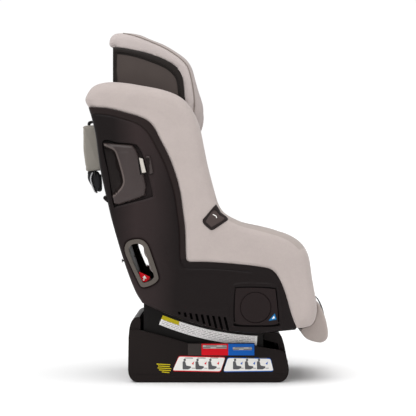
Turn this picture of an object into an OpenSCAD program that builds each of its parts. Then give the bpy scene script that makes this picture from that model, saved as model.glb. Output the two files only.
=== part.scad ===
// Convertible child car seat: moulded shell on an arc-track recline base,
// sliding headrest, fold-out side impact pods, flip-out cup holders,
// five-point harness, top tether and sliding calf support.
// Frame: +X is the way the child faces, +Y is the child's left, +Z is up.
// Origin: centre of the flat underside of the base.

/* [Shell] */
// Outer width of the shell across the side casings
shell_w = 450; // [440:1:470]
// Clear width of the bucket between the side bolsters
bucket_w = 304; // [300:1:312]
// Thickness of the side casings' outer skin
skin_t = 3; // [2.5:0.1:4]

/* [Base] */
// Overall width of the base
base_w = 330; // [320:1:350]
// Thickness of the base walls
base_t = 6; // [4:0.5:8]

/* [Recline] */
// Radius of the arc the seat slides on
track_r = 588; // [587:0.5:588]
// Running gap between shell and track
track_gap = 0.6; // [0.5:0.1:1]

/* [Headrest] */
// Overall width of the headrest
head_w = 296; // [286:1:296]

/* [Harness] */
// Width of the harness webbing
web_w = 38; // [34:1:40]
// Thickness of the harness webbing
web_t = 1.6; // [1.2:0.1:2]

/* [Hidden] */

SW = shell_w / 2;
SI = SW - 20;          // inner face of the side casings
WI = bucket_w / 2;     // inner face of the bolsters
BW = base_w / 2;
HW = head_w / 2;
CX = 130; CZ = 696;    // centre of the recline arc
R = track_r;
RT = R + track_gap;

// ---- helpers ----
function crp(a, b, c, d, t) = 0.5 * ((2 * b) + (c - a) * t + (2 * a - 5 * b + 4 * c - d) * t * t + (3 * b - a - 3 * c + d) * t * t * t);
// closed smooth curve through the points
function smooth(p, n = 3) = let (m = len(p)) [for (i = [0:m - 1]) for (k = [0:n - 1])
  crp(p[(i + m - 1) % m], p[i], p[(i + 1) % m], p[(i + 2) % m], k / n)];
// open smooth curve through the points
function open_curve(p, n = 3) = let (m = len(p)) concat([for (i = [0:m - 2]) for (k = [0:n - 1])
  crp(p[max(i - 1, 0)], p[i], p[i + 1], p[min(i + 2, m - 1)], k / n)], [p[m - 1]]);
function unit(v) = v / norm(v);
function nrm(p, i) = let (m = len(p), d = unit(p[(i + 1) % m] - p[(i + m - 1) % m])) [-d[1], d[0]];
// each vertex moved sideways by d (to the left of the walking direction)
function inset(p, d) = [for (i = [0:len(p) - 1]) p[i] + d * nrm(p, i)];
function rev(p) = [for (i = [len(p) - 1:-1:0]) p[i]];
// clockwise outline grown outwards by d
function grow(p, d) = inset(p, d);
// point on the recline arc: a degrees behind the lowest point
function onarc(r, a) = [CX - r * sin(a), CZ - r * cos(a)];
function arcp(r, a0, a1, n) = [for (i = [0:n]) onarc(r, a0 + (a1 - a0) * i / n)];
// ribbon outline of thickness t along an open path
function ribbon(p, t) = let (m = len(p), q = [for (i = [0:m - 1]) let (d = unit(p[min(i + 1, m - 1)] - p[max(i - 1, 0)])) [-d[1], d[0]]])
  concat([for (i = [0:m - 1]) p[i] + q[i] * t / 2], [for (i = [m - 1:-1:0]) p[i] - q[i] * t / 2]);

// side-view outline extruded between two lateral planes
module plate(p, y0, y1) translate([0, y1, 0]) rotate([90, 0, 0]) linear_extrude(y1 - y0) polygon(p);
module both() { children(); mirror([0, 1, 0]) children(); }
module ycyl(x, z, r, y0, y1, fn = 48) translate([x, y1, z]) rotate([90, 0, 0]) cylinder(r = r, h = y1 - y0, $fn = fn);
module box3(a, b) translate(a) cube(b - a);

// ---- side-view outlines (x, z) ----
// front edge of the side casing, where the cover starts, from the top back corner to the front foot
S_FRONT = concat([[-253, 585]], open_curve([[-238, 585], [-207, 581], [-165, 568], [-133, 556], [-119, 545], [-102, 516],
  [-85, 484], [-72, 453], [-60, 411], [-54, 369], [-49, 327], [-48, 290], [-47, 270]], 3),
  open_curve([[-40, 260], [3, 259.5], [66, 255], [119, 248], [136, 241], [148, 226], [161, 196], [175, 148], [186, 121]], 3));
S_FLOOR = concat([[180, 117], [142, 112.5]], arcp(R, 2, 26.6, 16));
S_BACK = open_curve([[-144, 180], [-154, 197], [-169, 234], [-186, 285], [-203, 344], [-213, 386], [-219, 411], [-228, 453],
  [-234, 495], [-238, 526], [-245, 558], [-251, 578]], 2);
S_OUT = concat(S_FRONT, S_FLOOR, S_BACK);
// rim of the cover over the top and front, from the top back corner to the front hem
F_RIM = open_curve([[-253, 585], [-261, 600], [-257, 614], [-247, 628], [-232, 636], [-207, 640], [-175, 638], [-144, 633],
  [-102, 625], [-70, 614], [-49, 600], [-33, 579], [-22, 556], [-16, 535], [-10, 505], [-3, 470], [3, 445], [12, 411],
  [20, 384], [29, 368], [42, 357], [66, 345], [87, 338], [129, 329], [161, 320], [182, 310], [198, 297], [209, 280],
  [215, 258], [220, 222], [225, 195], [229, 175], [230, 155], [226, 137], [217, 124], [204, 120]], 2);
// cover region between rim and casing edge
COVER = concat(F_RIM, [[190, 121]], [for (i = [len(S_FRONT) - 1:-1:1]) S_FRONT[i]]);
// side impact pod
POD = [[-221, 510], [-160, 505], [-152, 495], [-144, 474], [-136, 442], [-131, 418], [-134, 399], [-160, 389], [-190, 380], [-199, 383]];
POD_REC = [[-224, 513.5], [-158, 508], [-148, 503], [-136, 480], [-126, 442], [-117, 399], [-121, 394.5], [-154, 386], [-190, 377], [-202, 379.5]];
// belt path opening
BELT = smooth([[-176, 283], [-171, 301], [-155, 307], [-140, 306], [-128, 295], [-119, 272], [-106, 232], [-107, 221],
  [-118, 212], [-133, 207], [-142, 209], [-149, 221], [-163, 251]], 3);
BELT_IN = smooth([[-167, 284], [-163, 294], [-154, 298], [-144, 297], [-136, 290], [-128, 269], [-115, 233], [-116, 226],
  [-122, 220], [-133, 216], [-138, 217], [-143, 226], [-156, 254]], 3);
// cup holder panel
CUP = smooth([[57, 200], [62, 205], [100, 205.5], [136, 203], [141, 196], [146, 140], [139, 128.6], [100, 127], [63, 128.6], [56, 137], [55, 165]], 3);
CUP_REC = smooth([[55.5, 201.5], [60.5, 207], [100, 207.8], [137.2, 205.4], [143.2, 197], [148.6, 137], [146.5, 125.2], [100, 123.5], [55.5, 125.2], [53.2, 135], [52.6, 165]], 3);
CUP_X = 99; CUP_Z = 164; CUP_R = 33;

// ---- base ----
B_SIDE = concat([[-172, 27], [-170.6, 17], [-167, 9], [-160.5, 3], [-152, 0], [152, 0], [160.5, 3], [167, 9], [170.6, 17], [172, 27]],
  open_curve([[171, 36], [166, 55], [155, 68], [128, 73], [104, 77], [98, 84]], 3),
  open_curve([[-45, 84], [-93, 98], [-140, 110], [-160, 113], [-169, 108], [-171, 96]], 3));
B_REAR = concat([[-172, 27], [-170.6, 17], [-167, 9], [-160.5, 3], [-152, 0], [-148, 0], [-146, 40], [-146, 134]], open_curve([[-148, 139], [-155, 139], [-163, 133], [-169, 118], [-171, 96]], 3));
B_FRONT = concat([[152, 0], [160.5, 3], [167, 9], [170.6, 17], [172, 27]], open_curve([[171, 36], [167, 62], [162, 84], [157, 97], [150, 102.5], [142, 103.5]], 3), [[120, 103.5], [120, 88], [150, 80], [160, 40], [148, 0]]);
module rounded_plan(x, y, r, h) linear_extrude(h) hull() for (i = [-1, 1], j = [-1, 1]) translate([i * (x - r), j * (y - r)]) circle(r, $fn = 32);

module base_housing() color("#332c2c") {
  difference() {
    union() {
      plate(B_SIDE, -BW, -BW + base_t);
      plate(B_SIDE, BW - base_t, BW);
      plate(B_REAR, -BW + base_t, BW - base_t);
      plate(B_FRONT, -BW + base_t + 35, BW - base_t - 35);
      plate([[148, 0], [152, 0], [160.5, 3], [167, 9], [170.6, 17], [170, 45], [163, 66], [152, 68], [156, 40], [150, 30]], -BW + base_t, BW - base_t);
      box3([-152, -BW + base_t, 0], [152, BW - base_t, 5]);
      // cross rib under the track
      for (x = [-90, 40]) box3([x, -BW + base_t, 5], [x + 4, -149, 46]);
      for (x = [-90, 40]) box3([x, 149, 5], [x + 4, BW - base_t, 46]);
    }
    for (x = [-120, 120], y = [-117, 117]) box3([x - 32, y - 16, -1], [x + 32, y + 16, 2.2]);
    // parting line along both sides
    for (s = [-1, 1]) box3([-174, s * BW - 0.7, 16.4], [174, s * BW + 0.7, 17.8]);
    // grip hollow under the front hump
    box3([110, -60, 40], [149, 60, 79]);
    // track screw holes
    for (x = [-100, 0, 90], y = [-137, 137]) translate([x, y, -1]) cylinder(r = 2.6, h = 8, $fn = 24);
  }
}
module foot_pads() color("#1d1b1b") for (x = [-120, 120], y = [-117, 117]) box3([x - 31.5, y - 15.5, 0], [x + 31.5, y + 15.5, 2.2]);
TRK = concat(arcp(RT, 27.2, 1.2, 26), [[118, 5], [-140, 5]]);
// true arc band about the recline axis, between two angles
module arc_band(r0, r1, a0, a1, y0, y1) intersection() {
  difference() { ycyl(CX, CZ, r1, y0, y1, 360); ycyl(CX, CZ, r0, y0 - 1, y1 + 1, 360); }
  plate([[CX, CZ], onarc(900, a0), onarc(900, a1)], y0, y1);
}
module track_housing() difference() {
  plate(TRK, 126, 148);
  arc_band(600, 612, 26.7, 1.65, 125, 137);
  for (x = [-100, 0, 90]) translate([x, 137, 4]) cylinder(r = 2.1, h = 22, $fn = 24);
}
module track_housings() color("#2b2525") both() track_housing();
RACK = concat([for (i = [0:9]) let (a = 19.4 - i * 1.75) each [onarc(601, a + 0.45), onarc(601, a - 0.45), onarc(609, a - 0.5), onarc(609, a - 1.25)]],
  [onarc(601, 1.6), [114, 5], [-70, 5], onarc(601, 19.85)]);
module recline_rack() color("#8d8d8f") plate(RACK, -5, 5);
module scale_block(x0, x1) both() box3([x0, BW + 0.01, 58], [x1, BW + 1.6, 83]);
module scale_grey() color("#5a5550") scale_block(-44, -15);
module scale_red() color("#c51028") scale_block(-15, 42);
module scale_blue() color("#1058b0") scale_block(42, 98);
module base_screws() color("#777777") for (x = [-100, 0, 90], y = [-137, 137]) translate([x, y, 0]) union() {
  translate([0, 0, 0.6]) cylinder(r = 2, h = 22, $fn = 24);
  translate([0, 0, 0.6]) cylinder(r = 2.5, h = 2.2, $fn = 24);
}

// ---- shell ----
S_IN = grow(S_OUT, -4.5);
// hinge line of the pod along its rear edge, and a frame on it
PT = [-218.54, 510.43]; PB = [-196.54, 383.43]; PL = 128.9; PY = -SW + 4;
module at_pod() translate([PT[0], PY, PT[1]]) rotate([0, 170.17, 0]) children();
module at_cup() translate([CUP_X, -SW + 4, 132]) children();
module side_shell() difference() {
  union() {
    difference() {
      plate(S_OUT, -SW, -SI);
      plate(S_IN, -SW + skin_t, -SI + 1);
    }
    // pod recess tub with hinge bosses
    intersection() {
      union() {
        plate(grow(POD_REC, 3), -SW + 1, -SI);
        at_pod() translate([-6, -2, -9]) cube([12, 12, 12]);
        at_pod() translate([-6, -2, PL - 3]) cube([12, 12, 12]);
      }
      plate(grow(S_OUT, -1), -SW + 1, -SI);
    }
    // belt path collar and cup recess tub
    plate(grow(BELT, 2.5), -SW + 1, -SI);
    plate(grow(CUP_REC, 3), -SW + 1, -SI);
    box3([46, -SW + 1, 125], [54, -SI, 139]);
    box3([148, -SW + 1, 125], [156, -SI, 139]);
  }
  plate(POD_REC, -SW - 1, -SI - 3);
  plate(BELT, -SW - 1, -SI + 1);
  plate(CUP_REC, -SW - 1, -SI - 4);
  // vent slots
  for (i = [0:8]) let (x = -62 + i * 12, h = 6 + i * 3.6, z = 155 - i * 1.4)
    plate([[x - 2, z], [x + 2, z], [x + 2 + h * 0.25, z - h], [x - 2 + h * 0.25, z - h]], -SW - 1, -SW + skin_t + 1);
  // pockets for the pod and cup holder pins
  at_pod() translate([0, 0, -6]) cylinder(r = 2.06, h = PL + 12, $fn = 32);
  translate([48.6, -SW + 4, 132]) rotate([0, 90, 0]) cylinder(r = 2.06, h = 104.8, $fn = 32);
}
module side_shell_right() color("#2b2424") side_shell();
module side_shell_left() color("#2b2424") mirror([0, 1, 0]) side_shell();

BACK_IN = inset(S_BACK, -4.5);
module back_shell() color("#2b2424") difference() {
  plate(concat(S_BACK, rev([for (i = [0:len(S_BACK) - 1]) S_BACK[i] + [4.5, 1]])), -SI, SI);
  // tether strap slot and screw holes
  box3([-260, -27, 562], [-230, 27, 567]);
  for (y = [-150, 150], z = [260, 420, 520]) translate([-300, y, z]) rotate([0, 90, 0]) cylinder(r = 2.2, h = 150, $fn = 24);
}
BOT = concat([[186, 121], [180, 117], [142, 112.5]], arcp(R, 2, 26, 16), arcp(R - 4, 26, 2, 16), [[142, 117], [180, 122], [184, 125]]);
module bottom_shell() color("#2b2424") difference() {
  union() {
    plate(BOT, -SI, SI);
    // ears for the handle pivot
    both() plate([[150, 112.2], [174, 114.6], [170, 140], [164, 146], [156, 146], [151, 140]], 49, 54);
  }
  box3([164, -48.6, 100], [190, 48.6, 135]);
  box3([176, -51, 100], [190, 51, 135]);
  ycyl(162, 138, 3.06, -60, 60, 32);
  at_lock() translate([0, 0, 0]) cylinder(r = 4.8, h = 30, $fn = 40);
}
LINER = open_curve([[-98, 238], [-108, 275], [-120, 306], [-148, 368], [-171, 425], [-183, 452], [-192, 500], [-206.5, 600], [-210.5, 628]], 3);
module back_liner() color("#26211f") difference() {
  plate(ribbon(LINER, 4), -WI, WI);
  // slots for the headrest slider stems
  for (y = [-84, 84]) box3([-240, y - 8, 462], [-100, y + 8, 588]);
}
PAN = [[-96, 233], [190, 255], [190, 260], [-98, 238]];
module seat_pan() color("#26211f") difference() {
  plate(PAN, -WI, WI);
  box3([104, -24, 230], [120, 24, 280]);
}
module front_panel() color("#26211f") difference() {
  plate([[190, 123], [195, 123], [195, 262], [190, 262]], -WI, WI);
  box3([180, -51, 100], [200, 51, 152]);
  box3([180, -16, 176], [200, 16, 200]);
}
module carriage_side() {
  arc_band(R + 0.05, 617, 25.9, 15.6, 112, 123.5);
  for (a = [25.2, 16.3]) let (c = onarc(606, a)) ycyl(c[0], c[1], 5.5, 123, 136);
}
module recline_carriage() color("#3a3636") both() carriage_side();
// lock pin runs in this bracket along the arc radius
LA = 17.25;
module at_lock() translate([onarc(600.6, LA)[0], 0, onarc(600.6, LA)[1]]) rotate([0, LA, 0]) children();
module lock_bracket() color("#8d8d8f") at_lock() difference() {
  translate([-14, -14, 17.4]) cube([28, 28, 34]);
  translate([0, 0, 10]) cylinder(r = 4.05, h = 60, $fn = 40);
  translate([-8.6, -20, 22]) cube([17.2, 40, 24]);
}
// release spring between the pin collar and the bracket roof
module lock_spring() color("#b8b8ba") at_lock() for (i = [0:3]) translate([0, 0, 28.6 + i * 4.4]) rotate_extrude($fn = 32) translate([6, 0]) circle(0.9, $fn = 16);
module lock_pin() color("#9c9c9e") at_lock() union() {
  translate([0, 0, 0.3]) cylinder(r = 4, h = 58, $fn = 40);
  translate([0, 0, 24.4]) cylinder(r = 7.4, h = 3, $fn = 40);
}

BOL = concat([[-94, 242], [-52, 246]], [for (i = [40:-1:6]) if (S_FRONT[i][1] > 272) S_FRONT[i]],
  [[-196, 574], [-187, 500], [-178, 450], [-166, 425], [-144, 368], [-116, 306], [-104, 275]]);
module side_cover() difference() {
  plate(COVER, -SW, -WI);
  // seat for the belt guide insert
  plate(GUIDE, -SW - 1, -SW + 30);
}
module side_cover_right() color("#b5aba6") side_cover();
module side_cover_left() color("#b5aba6") mirror([0, 1, 0]) side_cover();
module side_bolsters() color("#aaa09b") both() plate(BOL, -SI + 0.5, -WI);
BAND = concat(open_curve([[-253, 585], [-261, 600], [-257, 614], [-247, 628], [-232, 636]], 2), [[-219, 637], [-213, 628], [-212, 600], [-214, 585]]);
module top_cover_band() color("#b5aba6") difference() {
  plate(BAND, -WI, WI);
}
CUSH = concat([[-94, 243.5]], open_curve([[-84, 268], [-70, 277], [0, 283], [90, 293], [150, 299], [185, 299]], 3), [[195, 290], [196, 263.5], [190, 262.2]]);
module seat_cushion() color("#b5aba6") difference() {
  plate(CUSH, -WI + 1, WI - 1);
  box3([105.5, -23, 230], [119, 23, 320]);
}
BPAD = concat(open_curve([[-93, 262], [-100, 282], [-116, 313], [-144, 373], [-164, 423]], 3), open_curve([[-141, 430], [-130, 402], [-117, 368], [-92, 312], [-78, 284]], 3), [[-88, 264]]);
module back_pad() color("#b5aba6") plate(BPAD, -WI + 1, WI - 1);
APR = concat([[196, 126]], open_curve([[206, 121], [217, 124], [224, 133], [228, 150], [229, 170], [225, 196], [220, 225], [215, 256], [208, 278], [198, 293]], 3), [[196, 288]]);
module front_apron() color("#b5aba6") difference() {
  plate(APR, -WI + 0.5, WI - 0.5);
  box3([190, -15, 174], [240, 15, 202]);
  // seat for the adjuster bezel
  box3([223.6, -24.4, 164.4], [240, 24.4, 208.6]);
  box3([190, -52, 110], [212, 52, 150]);
  both() plate(ribbon([[233.3, 94.7], [200.3, 177.5]], 8), 89, 111);
}
GUIDE = [[20, 383], [13, 377], [-12, 348], [-9, 338], [3, 327], [11, 327], [43, 349], [48, 355], [30, 367]];
GUIDE_IN = [[13, 371], [-7, 346], [-5, 340], [5, 331], [10, 331], [38, 350], [25, 357]];
module belt_guides() color("#4a4443") both() difference() {
  plate(GUIDE, -SW + 0.01, -SW + 29.9);
  plate([[40, 351], [28, 362], [17, 378], [30, 385], [60, 360]], -SW - 1, -SW + 31);
}
module belt_path_bezels() color("#54504c") both() union() {
  difference() {
    plate(grow(BELT, -0.05), -SW - 3, -SI);
    plate(BELT_IN, -SW - 4, -SI + 1);
  }
  // ledge in the lower corner
  plate([[-148, 236], [-120, 223.5], [-125, 216], [-134, 212], [-142, 214]], -SI - 0.4, -SI);
}
// colour marker in the lower corner of the opening
module belt_path_markers() color("#d0182c") both() plate([[-145.5, 233], [-122.6, 223], [-133, 217], [-138, 217.8], [-142, 225.4]], -SI - 3.4, -SI - 0.4);
// headrest guide rods
module rodpos(y) translate([-208.1, y, 445]) rotate([0, -8.05, 0]) children();
module guide_rods() color("#9a9a9c") for (y = [-84, 84]) rodpos(y) cylinder(r = 5, h = 139, $fn = 40);

// ---- top tether on the back ----
module tether_strap() color("#151414") union() {
  plate(ribbon(open_curve([[-240, 564.5], [-252, 565], [-262, 566], [-266, 560], [-262, 548]], 3), 3), -24, 24);
  translate([0, 0, 0]) plate([[-272, 550], [-256, 550], [-248, 454], [-265, 452]], -24, 24);
}
module tether_sleeve() color("#827c76") difference() {
  plate([[-279, 553], [-246.5, 556], [-236.5, 460], [-273, 455]], -30, 30);
  plate([[-275, 560], [-253, 560], [-243.5, 445], [-268.5, 445]], -26, 26);
}
module tether_hook() color("#2c2c2e") union() {
  difference() {
    plate(open_curve([[-270, 449], [-269, 436], [-258, 418], [-247, 410], [-240, 412], [-239, 428], [-241, 449]], 3), -13, 13);
    plate([[-263, 444], [-262, 434], [-254, 422], [-247, 418], [-245.5, 428], [-247, 444]], -20, 20);
  }
}
module shell_screws() color("#8a8a8c") both() for (p = [[-184.6, 260, 17], [-222.2, 420, 11], [-237.8, 520, 8]]) translate([p[0], 150, p[1]]) rotate([0, 90, 0]) union() {
  translate([0, 0, -1.5]) cylinder(r = 4.5, h = 1.6, $fn = 32);
  cylinder(r = 2, h = 14, $fn = 24);
}

// ---- harness ----
SHY = 42;   // lateral place of the shoulder straps
UP_PATH = concat(open_curve([[-187, 508], [-160, 507.6], [-152, 504.5], [-147, 497.2]], 3), [[-111.5, 400]]);
LO_PATH = open_curve([[-111.2, 399.2], [-103, 377], [-84, 345], [-50, 325], [-10, 317], [19.4, 314.4]], 3);
module shoulder_straps_upper() color("#1c1a1a") both() plate(ribbon(UP_PATH, web_t), SHY - web_w / 2, SHY + web_w / 2);
module shoulder_straps_lower() color("#1c1a1a") both() intersection() {
  plate(ribbon(LO_PATH, web_t), 0, 80);
  translate([0, 0, 250]) linear_extrude(200) polygon([[-130, 23], [-104, 23], [6, 9.5], [30, 9.5], [30, 46.5], [6, 46.5], [-104, 61], [-130, 61]]);
}
LAP = open_curve([[-80, 290], [-60, 300], [-30, 304], [0, 306.4], [12, 306.8], [18.4, 307.6], [20.6, 310.4]], 3);
module lap_straps() color("#1c1a1a") both() intersection() {
  plate(ribbon(LAP, web_t), 0, 150.5);
  // webbing splays from the tongue to the hip
  translate([0, 0, 250]) linear_extrude(100) polygon([[-100, 98], [-24, 42], [4, 9.5], [30, 9.5], [30, 46.5], [8, 46.5], [-12, 78], [-62, 136], [-100, 150.5]]);
}
BX = 99.5; BZ = 306;   // strap bar of the buckle
module crotch_strap() color("#1c1a1a") union() {
  plate(ribbon(open_curve([[112, 236], [112, 288], [111, 296], [107.6, 302], [103.4, 307]], 3), web_t), -19, 19);
  difference() { ycyl(BX, BZ, 4.8, -19, 19, 40); ycyl(BX, BZ, 3.1, -20, 20, 40); }
}
module buckle_body() color("#3b3736") difference() {
  plate([[34, 300], [94, 299], [104, 300.5], [106, 306], [101, 314], [90, 318.6], [60, 322], [38, 320], [33, 316]], -26, 26);
  // tongue slots, button pocket and strap bay
  for (y = [-1, 1]) box3([20, y * 13 - 9.5, 307.6], [56, y * 13 + 9.5, 313.6]);
  box3([50, -12, 312], [82, 12, 330]);
  difference() {
    union() { ycyl(BX, BZ, 7, -20.5, 20.5, 40); box3([BX, -20.5, 290], [115, 20.5, 330]); box3([96, -20.5, 290], [115, 20.5, 303]); }
    ycyl(BX, BZ, 3, -21, 21, 40);
  }
}
module buckle_tongues() color("#a9a9ab") both() difference() {
  union() { box3([20, 5, 308.9], [54, 21, 312.1]); box3([9, 4, 308.9], [30, 51, 312.1]); }
  box3([17, 8.4, 300], [24, 47.6, 320]);
}
module buckle_button() color("#c01826") box3([50.6, -11.4, 314], [81.4, 11.4, 322.6]);
// chest clip on the straight stretch of the straps
module clip_at() translate([-125.7, 0, 439]) rotate([0, -20, 0]) children();
module chest_clip() color("#2c2928") clip_at() difference() {
  union() {
    translate([-5, -68, -20]) cube([11, 136, 40]);
    translate([5, -24, -15]) cube([5, 48, 30]);
  }
  for (y = [-1, 1]) translate([-1.9, y * SHY - web_w / 2 - 1, -30]) cube([3.8, web_w + 2, 60]);
  // split line between the halves
  translate([-6, -0.4, -30]) cube([30, 0.8, 22]);
}
module adjuster_bezel() color("#2c2928") difference() {
  union() { plate([[227.6, 165], [231, 165], [233, 172], [231, 204], [226, 208], [224.4, 208], [226, 196]], -24, 24);
    box3([204, -14.6, 175], [229, 14.6, 201]); }
  box3([200, -14, 190], [240, 14, 200.4]);
  box3([200, -14, 175.6], [240, 14, 179]);
}
module adjuster_strap() color("#161414") plate(ribbon(open_curve([[204, 177.5], [233, 177.2], [241, 173.5], [248, 164], [253, 151], [256.5, 138], [257.5, 128]], 3), 1.8), -12.5, 12.5);

// ---- headrest ----
H_SHELL = concat(open_curve([[-205, 718], [-194, 718], [-169, 714], [-126, 704], [-93, 691], [-72, 678], [-59, 661], [-54, 640],
  [-52, 615], [-49, 588], [-56, 548], [-80, 515], [-110, 500]], 3), [[-184.4, 497], [-205, 646]]);
H_RIM = open_curve([[-206, 719], [-214, 725], [-213, 738], [-206, 747], [-194, 751], [-169, 751], [-147, 747], [-126, 738], [-94, 725],
  [-66, 708], [-48, 694], [-36, 676], [-29, 652], [-22, 627], [-16, 609], [-12, 594], [-11, 578], [-14, 560], [-22, 540], [-40, 515], [-70, 498], [-104, 493]], 2);
H_COVER = concat(H_RIM, [[-108, 499.5]], [for (i = [len(H_SHELL) - 4:-1:0]) H_SHELL[i]]);
H_PANEL = smooth([[-197, 706], [-158, 700], [-124, 689], [-93, 676], [-74, 661], [-66, 643], [-63, 616], [-61, 590], [-68, 560], [-90, 530], [-130, 515], [-178, 512], [-196, 646]], 2);
module headrest_shell() color("#3c3735") difference() {
  union() {
    both() plate(H_SHELL, -HW, -HW + 8);
    plate([[-184.4, 497], [-205, 646], [-205, 718], [-200, 716], [-199, 646], [-178.4, 497]], -HW + 8, HW - 8);
    // sliders on the guide rods behind the liner
    for (y = [-84, 84]) {
      rodpos(y) translate([-9.4, -11, 58.5]) cube([16, 22, 19.5]);
      box3([-214, y - 6, 503.5], [-186, y + 6, 521.5]);
    }
  }
  both() plate(H_PANEL, -HW - 1, -HW + 3);
  // rod bores, strap slots and handle window
  for (y = [-84, 84]) rodpos(y) cylinder(r = 5.06, h = 139, $fn = 40);
  for (y = [-SHY, SHY]) box3([-220, y - 21, 503], [-150, y + 21, 512]);
  box3([-220, -42, 655], [-190, 42, 702]);
  box3([-203.7, -47, 655], [-200.3, 47, 702]);
}
module headrest_side_panels() color("#4a4542") both() plate(grow(H_PANEL, -0.3), -HW + 0.8, -HW + 3);
H_INNER = concat([for (i = [1:len(H_SHELL) - 4]) H_SHELL[i]], [[-150, 497.5], [-166, 600], [-170, 640], [-172, 700], [-184, 716.5]]);
module headrest_wings() color("#b0a6a2") both() union() {
  plate(H_COVER, -HW, -HW + 44);
  plate(H_INNER, -HW + 8, -HW + 44);
}
H_PAD = concat([[-176, 499], [-198, 646], [-199, 712]], open_curve([[-194, 745], [-178, 747], [-168, 738], [-164, 715], [-160, 650], [-150, 560], [-146, 515], [-150, 499]], 3));
module headrest_pad() color("#b5aba6") difference() {
  plate(H_PAD, -HW + 44.3, HW - 44.3);
  for (y = [-SHY, SHY]) box3([-220, y - 22, 490], [-130, y + 22, 509.5]);
}
module headrest_handle() color("#2c2928") union() {
  box3([-211, -38, 664], [-202, 38, 680]);
  box3([-203.4, -46.6, 658], [-200.6, 46.6, 692]);
}

// ---- side impact pods ----
module sip_pod() union() {
  difference() {
    union() {
      plate(POD, -SW, -SW + 16);
      intersection() { plate(grow(POD, -3), -SW - 4, -SW + 1); plate([[-209, 530], [-100, 530], [-100, 370], [-183, 370]], -SW - 5, -SW + 2); }
    }
    // grip hollow at the rear
    plate([[-207, 494], [-192, 484], [-181, 470], [-168, 424], [-170, 414], [-184, 398], [-190, 404]], -SW - 5, -SW + 10);
    // seat for the release tab
    plate([[-152, 482], [-134, 486], [-118, 444], [-146, 441]], -SW - 5, -SW + 8);
    box3([-165, -SW + 2.4, 459.4], [-140, -SW + 5.6, 464.6]);
  }
  at_pod() translate([0, 0, -5.4]) cylinder(r = 2, h = 12, $fn = 32);
  at_pod() translate([0, 0, PL - 6]) cylinder(r = 2, h = 11.4, $fn = 32);
}
module sip_pod_right() color("#3a3434") sip_pod();
module sip_pod_left() color("#3a3434") mirror([0, 1, 0]) sip_pod();
module sip_tab() union() {
  plate([[-145.6, 478.5], [-138, 476.5], [-131, 448], [-139.6, 446.4]], -SW - 2.5, -SW + 7.4);
  box3([-159, -SW + 2.6, 459.8], [-140, -SW + 5.4, 464.2]);
}
module sip_tab_right() color("#8a847e") sip_tab();
module sip_tab_left() color("#8a847e") mirror([0, 1, 0]) sip_tab();

// ---- cup holders ----
module cup_ring() union() {
  difference() {
    plate(CUP, -SW - 0.5, -SW + 8);
    ycyl(CUP_X, CUP_Z, CUP_R, -SW - 2, -SW + 9, 64);
  }
  for (x = [49.4, 142]) translate([x, -SW + 4, 132]) rotate([0, 90, 0]) cylinder(r = 2, h = 10.8, $fn = 32);
}
module cup_ring_right() color("#332b2b") cup_ring();
module cup_ring_left() color("#332b2b") mirror([0, 1, 0]) cup_ring();
module cup_floor() difference() {
  union() {
    ycyl(CUP_X, CUP_Z, CUP_R - 0.08, -SW + 1, -SW + 14.5, 64);
    // narrower outer face, so that the disc shows a joint line
    ycyl(CUP_X, CUP_Z, CUP_R - 1.7, -SW - 0.5, -SW + 1.5, 64);
  }
  ycyl(CUP_X, CUP_Z, CUP_R - 3, -SW + 2.5, -SW + 16, 64);
}
module cup_floor_right() color("#2b2323") cup_floor();
module cup_floor_left() color("#2b2323") mirror([0, 1, 0]) cup_floor();

// ---- controls ----
module adjuster_button() color("#4a4543") union() { box3([212, -13.4, 190.6], [231, 13.4, 199.8]); }
module recline_handle() color("#4a4543") union() {
  plate([[158, 133], [162, 144], [171, 141], [186, 129], [189.4, 120], [186.4, 114.5], [180, 116], [178, 123], [168, 130]], -48, 48);
  ycyl(162, 138, 3, -53.5, 53.5, 32);
}
CALF = concat([[196, 112], [200, 102]], open_curve([[205, 96], [212, 90], [228, 83], [243, 81], [253, 86], [258, 95], [257, 107], [251, 129], [243, 149], [235, 165]], 3), [[232, 166], [231.5, 150], [227.6, 131], [219, 120], [206, 116]]);
module calf_support() color("#aaa09b") union() {
  plate(CALF, -138, 138);
  // slide arms
  both() plate(ribbon([[226, 113], [201.8, 173.8]], 6), 90, 110);
}

base_housing();
foot_pads();
track_housings();
recline_rack();
scale_grey();
scale_red();
scale_blue();
base_screws();
side_shell_right();
side_shell_left();
back_shell();
bottom_shell();
back_liner();
seat_pan();
front_panel();
recline_carriage();
lock_bracket();
lock_spring();
lock_pin();
side_cover_right();
side_cover_left();
side_bolsters();
top_cover_band();
seat_cushion();
back_pad();
front_apron();
belt_guides();
belt_path_bezels();
belt_path_markers();
guide_rods();
tether_strap();
tether_sleeve();
tether_hook();
shell_screws();
shoulder_straps_upper();
shoulder_straps_lower();
lap_straps();
crotch_strap();
adjuster_bezel();
adjuster_strap();
headrest_shell();
headrest_wings();
headrest_pad();
headrest_side_panels();
headrest_handle();
sip_pod_right();
sip_pod_left();
sip_tab_right();
sip_tab_left();
cup_ring_right();
cup_ring_left();
cup_floor_right();
cup_floor_left();
buckle_body();
buckle_tongues();
buckle_button();
chest_clip();
adjuster_button();
recline_handle();
calf_support();
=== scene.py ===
import bpy, bmesh, math
import numpy as np
from mathutils import Vector, Matrix
from mathutils.geometry import delaunay_2d_cdt


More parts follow.
